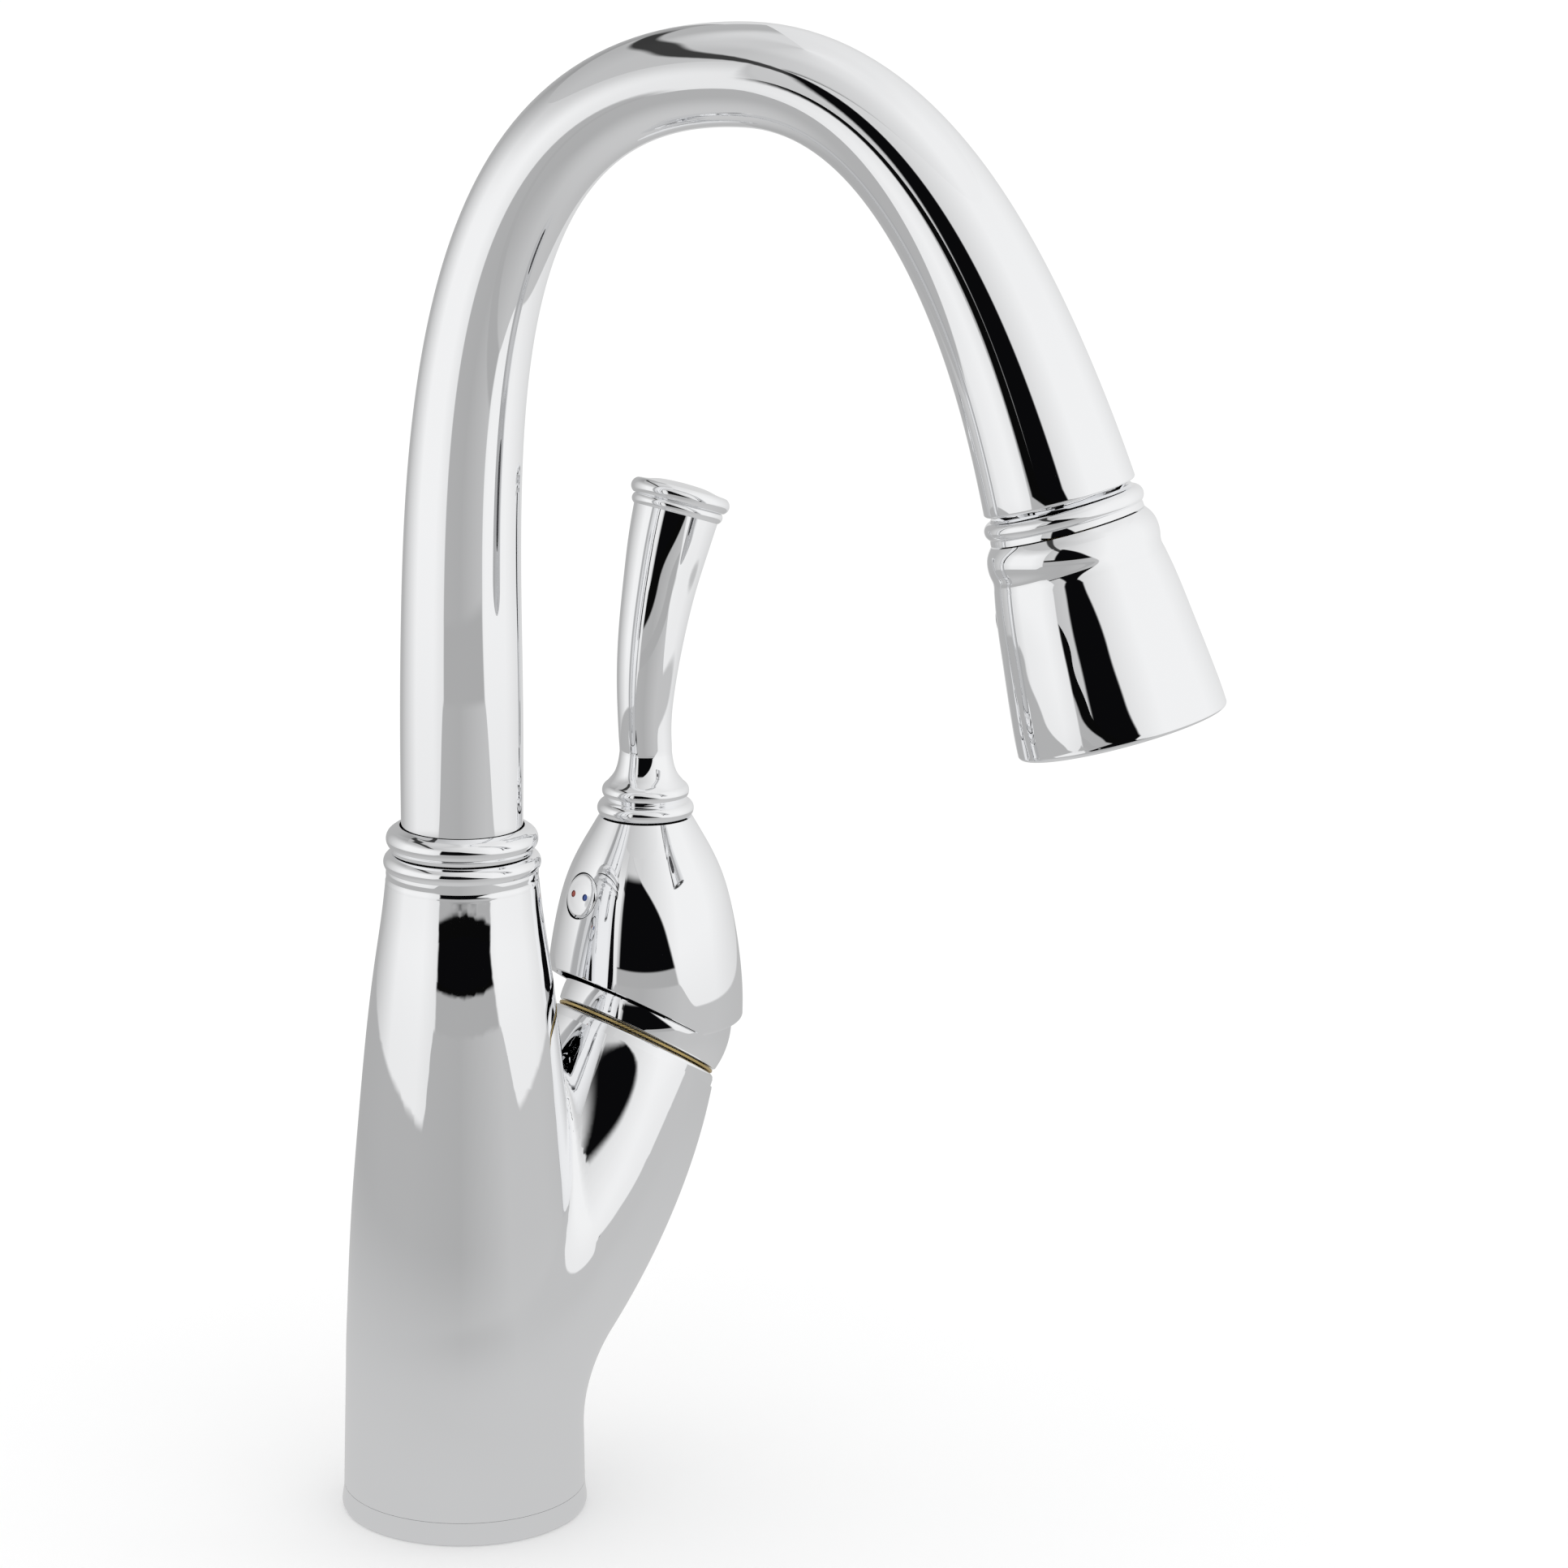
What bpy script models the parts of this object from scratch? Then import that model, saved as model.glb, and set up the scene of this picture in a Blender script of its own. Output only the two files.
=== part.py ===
"""Pull-down bar faucet: curved swivel spout, pull-out spray head, side lever valve on a tapered body.

Frame: metres, +Z up. The origin is the centre of the base on the deck it stands on, the column's
axis is Z, and the valve branch and lever stand on the +X side.
"""

from math import cos, pi, radians, sin, sqrt

import bmesh
import bpy
from mathutils import Matrix, Vector

MM = 0.001
GAP = 0.3                       # clearance between touching pieces, mm

# ---- driving dimensions, mm and degrees -------------------------------------------------------
FINE_STEPS = 28                 # sides of the large turned pieces
PLAIN_STEPS = 16                # sides of small and hidden turned pieces

BASE_RING_RADIUS = 27.0
BASE_RING_HEIGHT = 5.0
COLUMN_TOP = 148.9
COLUMN_BORE = 11.0
SOCKET_RADIUS = 13.6            # bore that the spout hub turns in
SOCKET_FLOOR = 112.0

SHANK_RADIUS = 15.5
SHANK_BORE = 12.0
SHANK_BOTTOM = -52.0
SHANK_TOP = 13.7
DECK_THICKNESS = 31.0

SPOUT_TURN = 34.0               # spout's rest direction, turned from -Y towards +X
SPOUT_START = 149.5
SPOUT_SPRING_Z = 188.0          # where the riser starts to bend
SPOUT_APEX = (63.0, 317.3)      # reach and height of the arch's top, on the centre line
SPOUT_END = (130.3, 234.8)
SPOUT_END_TILT = 17.0           # outlet axis from straight down
SPOUT_WALL = 1.6
# outer radius by share of the centre line's length: slimmest just before the top, widest at the outlet
SPOUT_RADII = ((0.0, 13.05), (0.1, 13.1), (0.17, 12.75), (0.255, 12.15), (0.34, 11.4), (0.41, 10.85),
               (0.53, 10.4), (0.64, 10.85), (0.71, 11.0), (0.79, 12.1), (0.865, 13.1), (0.9, 13.6),
               (1.0, 15.9))
HUB_SEALS = (139.0, 124.0)      # heights of the two rings on the spout's hub

WAND_TRAVEL_START = 0.7         # gap between the outlet and the docked spray head
WAND_LENGTH = 50.2
WAND_BUTTON_DROP = 27.0         # spray button's centre below the outlet, along the head's axis
HOSE_RADIUS = 4.8
HOSE_CUT = 12.6                 # hose ends this far inside the outlet

VALVE_TILT = 31.5               # valve axis from straight up, towards +X
PIVOT = (49.0, 0.0, 102.9)      # ball centre, where the lever's axis meets the valve's axis
BALL_ZONE = 19.4                # outer sphere of the bonnet
FLANGE_DROP = -5.2              # branch face, along the valve axis from the pivot
TUBE_RADIUS = 2.5
TUBES = {                       # each tube's place in the column: aside (Y) and ahead (X)
    "inlet_tube_hot": (8.0, 1.0),
    "inlet_tube_cold": (-8.0, 1.0),
    "outlet_tube": (0.0, 8.0),
}

LEVER_TIP = (8.0, 114.0)        # lever's end from the pivot: outwards, up
LEVER_TIP_TILT = 18.0
BUTTON_HEIGHT = 31.0            # index button's centre above the pivot
BUTTON_TILT = 16.0              # index button's axis above the horizontal
BUTTON_SKIN = 17.7              # bell's radius at the index button
BUTTON_RADIUS = 5.0

# ---- finishes: colour, metallic, roughness ----------------------------------------------------
FINISHES = {
    "polished_chrome": ((0.80, 0.80, 0.82), 1.0, 0.06),
    "raw_brass": ((0.62, 0.47, 0.20), 1.0, 0.35),
    "copper": ((0.72, 0.40, 0.26), 1.0, 0.30),
    "zinc_steel": ((0.56, 0.57, 0.58), 1.0, 0.35),
    "black_rubber": ((0.03, 0.03, 0.03), 0.0, 0.70),
    "grey_nylon": ((0.30, 0.31, 0.32), 0.0, 0.55),
    "white_plastic": ((0.80, 0.80, 0.78), 0.0, 0.45),
    "dark_plastic": ((0.06, 0.06, 0.07), 0.0, 0.40),
    "ceramic": ((0.88, 0.87, 0.84), 0.0, 0.20),
    "red_enamel": ((0.45, 0.06, 0.04), 0.0, 0.30),
    "blue_enamel": ((0.05, 0.10, 0.40), 0.0, 0.30),
}

VALVE_AXIS = Vector((sin(radians(VALVE_TILT)), 0.0, cos(radians(VALVE_TILT))))
PIVOT_POINT = Vector(PIVOT)


# ---- scene helpers ----------------------------------------------------------------------------
def clear_scene():
    """Remove every object that the file starts with."""
    for old in list(bpy.data.objects):
        bpy.data.objects.remove(old, do_unlink=True)


def new_collection(name):
    """Add a collection to the scene."""
    group = bpy.data.collections.new(name)
    bpy.context.scene.collection.children.link(group)
    return group


clear_scene()
PARTS = new_collection("pull_down_faucet")
CUTTERS = new_collection("cutters")


def finish(name):
    """Return the Principled material of a named finish, made once."""
    known = bpy.data.materials.get(name)
    if known:
        return known
    colour, metallic, roughness = FINISHES[name]
    material = bpy.data.materials.new(name)
    material.use_nodes = True
    shader = material.node_tree.nodes["Principled BSDF"]
    shader.inputs["Base Color"].default_value = (*colour, 1.0)
    shader.inputs["Metallic"].default_value = metallic
    shader.inputs["Roughness"].default_value = roughness
    return material


def add_object(name, data, material=None, frame=None, cutter=False):
    """Link an object to the parts, or to the cutters when it only cuts."""
    obj = bpy.data.objects.new(name, data)
    (CUTTERS if cutter else PARTS).objects.link(obj)
    if cutter:
        obj.hide_render = True
        obj.display_type = "WIRE"
    if material:
        data.materials.append(finish(material))
    if frame is not None:
        obj.matrix_world = frame
    return obj


def frame_at(point, axis, side=Vector((0.0, 1.0, 0.0))):
    """Matrix with its Z along an axis, its Y as near to side as it can be, at a point in mm."""
    z = Vector(axis).normalized()
    x = Vector(side).cross(z).normalized()
    y = z.cross(x)
    turn = Matrix((x, y, z)).transposed().to_4x4()
    return Matrix.Translation(Vector(point) * MM) @ turn


# ---- outlines ---------------------------------------------------------------------------------
def arc(centre, radius, start, end, count):
    """Points on an arc of a turned outline, angles in degrees from +radius towards +height."""
    angles = [radians(start + (end - start) * i / count) for i in range(count + 1)]
    return [(centre[0] + radius * cos(a), centre[1] + radius * sin(a)) for a in angles]


def smooth(points, per_span):
    """Catmull-Rom curve through the points."""
    ends = [points[0]] + list(points) + [points[-1]]
    out = []
    for i in range(1, len(ends) - 2):
        p0, p1, p2, p3 = ends[i - 1:i + 3]
        for k in range(per_span):
            t = k / per_span
            out.append(tuple(
                0.5 * (2 * b + (c - a) * t + (2 * a - 5 * b + 4 * c - d) * t * t
                       + (3 * b - a - 3 * c + d) * t ** 3)
                for a, b, c, d in zip(p0, p1, p2, p3)))
    out.append(tuple(points[-1]))
    return out


def box_outline(outer, inner, top, bottom):
    """Closed outline of a plain ring, outer side first, from top to bottom."""
    return [(outer, top), (outer, bottom), (inner, bottom), (inner, top)]


def turned(name, outline, material=None, frame=None, steps=PLAIN_STEPS, closed=True, cutter=False):
    """Turn an outline of (radius, height) about Z with a Screw modifier.

    A closed outline makes a ring. An open one starts and ends on the axis.
    """
    mesh = bpy.data.meshes.new(name)
    shape = bmesh.new()
    corners = [shape.verts.new((r * MM, 0.0, z * MM)) for r, z in outline]
    pairs = list(zip(corners, corners[1:]))
    if closed:
        pairs.append((corners[-1], corners[0]))
    for a, b in pairs:
        shape.edges.new((a, b))
    shape.to_mesh(mesh)
    shape.free()
    obj = add_object(name, mesh, material, frame, cutter)
    screw = obj.modifiers.new("turn", "SCREW")
    screw.axis = "Z"
    screw.angle = 2 * pi
    screw.steps = steps
    screw.render_steps = steps
    screw.use_merge_vertices = True
    screw.merge_threshold = 0.00001
    return obj


def rod(name, radius, bottom, top, material=None, frame=None, steps=PLAIN_STEPS, cutter=False):
    """Solid turned rod."""
    outline = [(0.0, top), (radius, top), (radius, bottom), (0.0, bottom)]
    return turned(name, outline, material, frame, steps, closed=False, cutter=cutter)


def sweep(name, points, radii, material=None, sides=12, cutter=False):
    """Round bar along points in mm, with a radius at each, from a bevelled curve made a mesh."""
    curve = bpy.data.curves.new(name, "CURVE")
    curve.dimensions = "3D"
    curve.bevel_depth = MM
    curve.bevel_resolution = (sides - 4) // 2
    curve.use_fill_caps = True
    spline = curve.splines.new("POLY")
    spline.points.add(len(points) - 1)
    for spot, point, radius in zip(spline.points, points, radii):
        spot.co = (*(Vector(point) * MM), 1.0)
        spot.radius = radius
    guide = bpy.data.objects.new(name + "_guide", curve)
    CUTTERS.objects.link(guide)
    bpy.context.view_layer.update()
    graph = bpy.context.evaluated_depsgraph_get()
    mesh = bpy.data.meshes.new_from_object(guide.evaluated_get(graph))
    place = guide.matrix_world.copy()
    bpy.data.objects.remove(guide, do_unlink=True)
    shape = bmesh.new()
    shape.from_mesh(mesh)
    bmesh.ops.remove_doubles(shape, verts=shape.verts, dist=0.000005)
    shape.to_mesh(mesh)
    shape.free()
    mesh.name = name
    return add_object(name, mesh, material, place, cutter)


def combine(obj, other, operation):
    """Add a Boolean of another object to an object."""
    step = obj.modifiers.new(operation.lower() + "_" + other.name, "BOOLEAN")
    step.operation = operation
    step.solver = "EXACT"
    step.object = other


def cut(obj, *cutters):
    """Cut each cutter out of the object."""
    for cutter in cutters:
        combine(obj, cutter, "DIFFERENCE")


def smooth_shading(obj):
    """Shade a round piece smooth, with its real edges kept sharp."""
    if obj.type == "MESH" and obj.data.polygons:
        obj.data.shade_smooth()
        obj.data.set_sharp_from_angle(angle=radians(35))


# ---- curves that several pieces share ---------------------------------------------------------
def bezier(p0, p1, p2, p3, count):
    """Points on a cubic Bezier curve, without its first one."""
    out = []
    for i in range(1, count + 1):
        t = i / count
        w = ((1 - t) ** 3, 3 * (1 - t) ** 2 * t, 3 * (1 - t) * t * t, t ** 3)
        out.append(tuple(sum(k * p[a] for k, p in zip(w, (p0, p1, p2, p3))) for a in range(len(p0))))
    return out


def spout_line(start, rise_count=2, bend_count=11, drop_count=9):
    """Spout's centre line as (reach, height), from a height on the column's axis to the outlet."""
    apex, end = SPOUT_APEX, SPOUT_END
    tilt = radians(SPOUT_END_TILT)
    rise = [(0.0, start + (SPOUT_SPRING_Z - start) * i / rise_count) for i in range(rise_count + 1)]
    bend = bezier(rise[-1], (0.0, SPOUT_SPRING_Z + 59.0), (apex[0] - 62.4, apex[1]), apex, bend_count)
    drop = bezier(apex, (apex[0] + 23.7, apex[1]), (end[0] - 65.0 * sin(tilt), end[1] + 65.0 * cos(tilt)),
                  end, drop_count)
    return rise + bend + drop


def spout_point(reach, height, aside=0.0):
    """Point of the spout's plane in the object's frame, mm."""
    turn = radians(SPOUT_TURN)
    return Vector((reach * sin(turn) + aside * cos(turn), -reach * cos(turn) + aside * sin(turn), height))


def lengths(line):
    """Running length at each point of a line, as a share of the whole."""
    run = [0.0]
    for a, b in zip(line, line[1:]):
        run.append(run[-1] + sqrt(sum((p - q) ** 2 for p, q in zip(a, b))))
    return [r / run[-1] for r in run]


def graded(table, share):
    """Read a (share, value) table, with straight runs between its values."""
    for (s0, v0), (s1, v1) in zip(table, table[1:]):
        if share <= s1:
            return v0 + (v1 - v0) * (share - s0) / (s1 - s0)
    return table[-1][1]


OUTLET_TILT = radians(SPOUT_END_TILT)
OUTLET = spout_point(*SPOUT_END)
WAND_AXIS = (spout_point(sin(OUTLET_TILT), -cos(OUTLET_TILT)) - spout_point(0.0, 0.0)).normalized()
WAND_BACK = -(spout_point(cos(OUTLET_TILT), sin(OUTLET_TILT)) - spout_point(0.0, 0.0)).normalized()
SPOUT_SIDE = spout_point(0.0, 0.0, 1.0).normalized()


def wand_frame():
    """Frame at the outlet: Z runs back up into the spout, so wand heights are negative."""
    return frame_at(OUTLET, -WAND_AXIS, SPOUT_SIDE)


def valve_frame(height=0.0):
    """Frame on the valve's axis, at a height from the pivot."""
    return frame_at(PIVOT_POINT + VALVE_AXIS * height, VALVE_AXIS)


def pivot_frame():
    """Upright frame at the pivot, which the closed lever is built in."""
    return Matrix.Translation(PIVOT_POINT * MM)


# ---- base and deck fixing ---------------------------------------------------------------------
def make_base():
    """Trim ring, gasket, threaded shank, washers and nut."""
    edge = BASE_RING_RADIUS
    ring = [(edge - 0.4, BASE_RING_HEIGHT), (edge - 0.28, 3.6), (edge, 1.9), (edge, 0.4), (edge - 0.4, 0.0),
            (24.8, 0.0), (24.8, 1.4), (SHANK_RADIUS + GAP, 1.4), (SHANK_RADIUS + GAP, BASE_RING_HEIGHT)]
    turned("base_ring", ring, "polished_chrome", steps=FINE_STEPS)
    turned("base_gasket", box_outline(24.5, SHANK_RADIUS + GAP, 1.1, 0.0), "black_rubber", steps=FINE_STEPS)
    turned("mounting_shank", box_outline(SHANK_RADIUS, SHANK_BORE, SHANK_TOP, SHANK_BOTTOM), "raw_brass",
           steps=28)
    below = -DECK_THICKNESS
    turned("deck_washer", box_outline(26.0, SHANK_RADIUS + GAP, below, below - 2.0), "black_rubber", steps=28)
    turned("steel_washer", box_outline(27.0, SHANK_RADIUS + GAP, below - 2.3, below - 4.0), "zinc_steel",
           steps=28)
    make_nut(below - 4.3, below - 14.3)


def make_nut(top, bottom):
    """Six-sided nut on the shank."""
    nut = rod("mounting_nut", 24.5, bottom, top, "raw_brass", steps=6)
    bore = rod("nut_bore", SHANK_RADIUS + GAP, bottom - 1.0, top + 1.0, steps=28, cutter=True)
    cut(nut, bore)


# ---- body -------------------------------------------------------------------------------------
def column_outline():
    """Outer side of the column: a rolled ring under the groove, then a long smooth taper."""
    ring = arc((14.9, 146.9), 2.0, 62.0, -50.0, 4)
    taper = smooth([(16.45, 143.4), (17.3, 136.0), (18.85, 125.0), (20.7, 110.5), (22.6, 91.0), (24.35, 70.0),
                    (25.5, 48.0), (26.2, 24.0), (26.6, 5.3)], 1)
    return [(0.0, COLUMN_TOP), (SOCKET_RADIUS + 1.3, COLUMN_TOP)] + ring + taper + [(0.0, 5.3)]


def branch_line():
    """Centres and radii of the valve branch, from its flat face down into the column."""
    face = PIVOT_POINT + VALVE_AXIS * FLANGE_DROP
    start = (face.x, face.z)
    inner = (face.x - 5.0 * VALVE_AXIS.x, face.z - 5.0 * VALVE_AXIS.z)
    line = bezier(start, inner, (37.0, 70.0), (4.0, 38.0), 8)
    shares = lengths(line)
    radii = [graded(((0.0, 19.5), (0.3, 21.6), (0.65, 23.2), (1.0, 23.6)), s) for s in shares]
    points = [(x, 0.0, z) for x, z in line]
    rolled = [(face.x, 0.0, face.z), tuple(face - VALVE_AXIS * 0.35), tuple(face - VALVE_AXIS * 1.2)]
    return rolled + points, [18.6, 19.15, 19.45] + radii


def tube_line(aside, ahead, ends_low):
    """Path of a water tube: down from the cartridge, then straight down the column."""
    top = PIVOT_POINT + VALVE_AXIS * -27.4
    bend_in = PIVOT_POINT + VALVE_AXIS * -44.0
    start = (top.x, aside, top.z)
    knee = (ahead, aside, 30.0)
    return [start] + bezier(start, (bend_in.x, aside, bend_in.z), (ahead, aside, 56.0), knee, 8) + [
        (ahead, aside, ends_low)]


def make_body():
    """Column and branch as one casting, bored for the hose, the spout hub, the shank and the cartridge."""
    body = turned("body_casting", column_outline(), "polished_chrome", steps=FINE_STEPS, closed=False)
    points, radii = branch_line()
    branch = sweep("branch_form", points, radii, sides=24, cutter=True)
    combine(body, branch, "UNION")
    bore = [(0.0, COLUMN_TOP + 1), (SOCKET_RADIUS, COLUMN_TOP + 1), (SOCKET_RADIUS, SOCKET_FLOOR),
            (COLUMN_BORE, SOCKET_FLOOR), (COLUMN_BORE, 14.0), (SHANK_RADIUS + GAP, 14.0),
            (SHANK_RADIUS + GAP, 4.0), (0.0, 4.0)]
    column_bore = turned("column_bore", bore, steps=FINE_STEPS, closed=False, cutter=True)
    seat = rod("cartridge_bore", 15.8, -27.0, 1.0, frame=valve_frame(), steps=FINE_STEPS, cutter=True)
    cut(body, column_bore, seat)
    for name, (aside, ahead) in TUBES.items():
        points = tube_line(aside, ahead, 28.0)
        lead = tuple(Vector(points[0]) + VALVE_AXIS * 2.0)
        way = sweep(name + "_way", [lead] + points, [TUBE_RADIUS + GAP] * (len(points) + 1), cutter=True)
        cut(body, way)
    for name, (aside, ahead) in TUBES.items():
        points = tube_line(aside, ahead, SHANK_BOTTOM + 2.0)
        sweep(name, points, [TUBE_RADIUS] * len(points), "copper", sides=10)


# ---- spout ------------------------------------------------------------------------------------
def make_spout():
    """Tapered hollow tube, its hub with two seals, the collar ring and the docking sleeve."""
    line = spout_line(SPOUT_START)
    shares = lengths(line)
    radii = [graded(SPOUT_RADII, s) for s in shares]
    points = [spout_point(*p) for p in line]
    tip = points[-1]
    skin = points[:-1] + [tip - WAND_AXIS * 2.2, tip - WAND_AXIS * 0.7, tip]
    tube = sweep("spout_tube", skin, radii[:-1] + [15.85, 15.8, 15.1], "polished_chrome", sides=20)
    inside = [points[0] - Vector((0, 0, 2.0))] + points[1:-1] + [tip + WAND_AXIS * 2.0]
    bore = sweep("spout_bore", inside, [r - SPOUT_WALL for r in radii], sides=20, cutter=True)
    cut(tube, bore)

    hub = [(11.1, 160.0), (11.1, 148.6), (13.3, 148.6)]
    for seal in HUB_SEALS:
        hub += [(13.3, seal + 0.8), (12.2, seal + 0.8), (12.2, seal - 0.8), (13.3, seal - 0.8)]
    hub += [(13.3, 114.0), (9.6, 114.0), (9.6, 160.0)]
    turned("spout_hub", hub, "raw_brass")
    for name, seal in zip(("hub_seal_upper", "hub_seal_lower"), HUB_SEALS):
        turned(name, arc((12.85, seal), 0.4, 90.0, -180.0, 3), "black_rubber")
    turned("thrust_washer", box_outline(13.2, 11.4, 113.7, 112.3), "white_plastic")

    ring = [(13.4, 154.6), (14.6, 154.7)] + arc((14.0, 151.9), 2.35, 70.0, -45.0, 5)
    ring += [(15.3, 149.2), (13.4, 149.2)]
    turned("collar_ring", ring, "polished_chrome", steps=FINE_STEPS)
    turned("docking_sleeve", box_outline(12.3, 9.7, 12.0, 0.9), "dark_plastic", wand_frame(), steps=20)


def make_hose():
    """Braided hose from the deck shank up the column and round the spout to the spray head."""
    line = spout_line(SPOUT_START, bend_count=16, drop_count=13)
    points = [Vector((0.0, 0.0, SHANK_BOTTOM + 2.5 + 18.0 * i)) for i in range(11)]
    points += [spout_point(*p) for p in line[:-1] if (OUTLET - spout_point(*p)).length > HOSE_CUT + 3.0]
    points.append(OUTLET - WAND_AXIS * HOSE_CUT)
    sweep("spray_hose", points, [HOSE_RADIUS] * len(points), "grey_nylon", sides=8)
    top = SHANK_BOTTOM + 2.2
    turned("hose_connector", [(0.0, top), (5.2, top), (5.2, top - 5.0), (4.4, top - 5.0), (4.4, top - 12.0),
                              (0.0, top - 12.0)], "raw_brass", closed=False)


# ---- spray head -------------------------------------------------------------------------------
def make_spray_head():
    """Collar, shell, waterway, face and aerator, all turned about the outlet's axis."""
    place = wand_frame()
    start = -WAND_TRAVEL_START
    collar = [(9.3, 9.5), (9.3, start), (15.0, start)] + arc((14.7, -3.2), 2.0, 70.0, -42.0, 4)
    collar += [(16.1, -5.9), (6.0, -5.9), (6.0, 9.5)]
    turned("wand_collar", collar, "polished_chrome", place, steps=FINE_STEPS)

    outer = smooth([(16.2, -6.2), (17.3, -8.2), (17.9, -10.7), (17.65, -13.6), (18.3, -17.5), (19.55, -25.5),
                    (20.6, -34.0), (21.6, -43.6), (21.95, -47.4)], 1)
    rim = [(21.7, -49.2), (21.0, -WAND_LENGTH), (20.2, -WAND_LENGTH), (20.0, -44.0)]
    inner = [(18.6, -34.0), (17.6, -25.5), (16.0, -14.0), (15.6, -8.2), (8.0, -8.2), (8.0, -6.2)]
    shell = turned("wand_shell", outer + rim + inner, "polished_chrome", place, steps=FINE_STEPS)

    middle = OUTLET + WAND_AXIS * WAND_BUTTON_DROP
    button_place = frame_at(middle, WAND_BACK, SPOUT_SIDE)
    window = stadium("button_window", 5.1, 4.0, 6.0, 30.0, button_place, cutter=True)
    cut(shell, window)
    stadium("spray_button", 4.7, 4.0, 17.2, 19.2, button_place, "dark_plastic")
    turned("diverter_spool", [(0.0, 16.9), (1.6, 16.9), (1.6, 4.0), (0.0, 4.0)], "white_plastic", button_place,
           closed=False, steps=12)

    core = turned("waterway_core", [(14.6, -9.4), (14.6, -38.0), (3.0, -38.0), (3.0, -18.0), (4.2, -18.0),
                                    (4.2, -9.4)], "white_plastic", place)
    spool_way = rod("spool_way", 2.0, 1.0, 20.0, frame=button_place, steps=12, cutter=True)
    cut(core, spool_way)
    turned("hose_ferrule", box_outline(5.6, 2.2, 12.0, -8.9), "raw_brass", place)
    turned("check_valve", [(0.0, -9.8), (3.9, -9.8), (3.9, -17.0), (0.0, -17.0)], "dark_plastic", place,
           closed=False, steps=12)
    turned("spray_face", box_outline(19.3, 5.6, -44.5, -47.4), "dark_plastic", place, steps=32)
    turned("nozzle_ring", box_outline(15.4, 8.6, -47.7, -48.6), "black_rubber", place, steps=32)
    turned("aerator", [(5.2, -40.0), (5.2, -48.4), (4.3, -48.8), (2.6, -48.8), (2.6, -40.0)], "polished_chrome",
           place)


def stadium(name, half_width, straight, low, high, frame, material=None, cutter=False):
    """Rounded-end block: a flat outline with two half circles, extruded along its frame's Z.

    The block is symmetrical about its frame's Z, and its long side lies along the frame's X.
    """
    curve = bpy.data.curves.new(name, "CURVE")
    curve.dimensions = "2D"
    curve.fill_mode = "BOTH"
    curve.extrude = (high - low) / 2 * MM
    spline = curve.splines.new("POLY")
    right = arc((straight, 0.0), half_width, -90.0, 90.0, 8)
    left = arc((-straight, 0.0), half_width, 90.0, 270.0, 8)
    outline = right + left
    spline.points.add(len(outline) - 1)
    for spot, (x, y) in zip(spline.points, outline):
        spot.co = (x * MM, y * MM, 0.0, 1.0)
    spline.use_cyclic_u = True
    guide = bpy.data.objects.new(name + "_guide", curve)
    CUTTERS.objects.link(guide)
    bpy.context.view_layer.update()
    graph = bpy.context.evaluated_depsgraph_get()
    mesh = bpy.data.meshes.new_from_object(guide.evaluated_get(graph))
    bpy.data.objects.remove(guide, do_unlink=True)
    shape = bmesh.new()
    shape.from_mesh(mesh)
    bmesh.ops.remove_doubles(shape, verts=shape.verts, dist=0.000005)
    shape.to_mesh(mesh)
    shape.free()
    middle = frame @ Matrix.Translation((0.0, 0.0, (high + low) / 2 * MM))
    return add_object(name, mesh, material, middle, cutter)


# ---- valve ------------------------------------------------------------------------------------
def sphere_zone(radius, low, high, count):
    """Side of a ball centred on the pivot, from a high level to a low one."""
    levels = [high + (low - high) * i / count for i in range(count + 1)]
    return [(sqrt(radius ** 2 - h ** 2), h) for h in levels]


def make_valve():
    """Bonnet, glide ring and cartridge, on the valve's tilted axis."""
    place = valve_frame()
    inner = list(reversed(sphere_zone(17.2, -3.9, 10.4, 3)))
    bonnet = sphere_zone(BALL_ZONE, -3.9, 12.0, 5) + inner + [(12.6, 10.4), (12.6, 12.0)]
    turned("bonnet", bonnet, "polished_chrome", place, steps=FINE_STEPS)
    turned("glide_ring", box_outline(18.7, 16.4, -4.2, -4.9), "raw_brass", place, steps=FINE_STEPS)

    housing = [(15.4, 5.0), (15.4, -25.7), (9.0, -25.7), (9.0, -22.0), (12.4, -22.0), (12.4, 5.0)]
    turned("cartridge_housing", housing, "white_plastic", place)
    turned("base_seal", box_outline(15.2, 11.4, -26.0, -26.8), "black_rubber", place)
    turned("limit_stop_ring", box_outline(14.8, 12.7, 6.4, 5.3), "red_enamel", place)
    turned("fixed_disc", box_outline(12.0, 3.0, -18.7, -21.7), "ceramic", place)
    turned("moving_disc", box_outline(10.6, 2.2, -15.9, -18.4), "ceramic", place)

    carrier = turned("cartridge_carrier", [(0.0, -9.6), (7.9, -9.6), (7.9, 4.0), (12.0, 4.0), (12.0, -15.6),
                                           (0.0, -15.6)], "dark_plastic", place, closed=False)
    cross = frame_at(PIVOT_POINT, Vector((0.0, 1.0, 0.0)), Vector((0.0, 0.0, 1.0)))
    pin_hole = rod("pin_hole", 1.8, -14.0, 14.0, frame=cross, steps=12, cutter=True)
    cut(carrier, pin_hole)
    rod("pivot_pin", 1.4, -11.2, 11.2, "zinc_steel", cross, steps=12)

    ball = arc((0.0, 0.0), 5.5, 57.0, -68.0, 5)
    stem = [(0.0, 37.0), (3.0, 37.0), (3.0, 6.0)] + ball + [(2.0, -8.0), (0.0, -8.0)]
    stem_solid = turned("valve_stem", stem, "zinc_steel", pivot_frame(), closed=False)
    cut(stem_solid, pin_hole)


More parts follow.
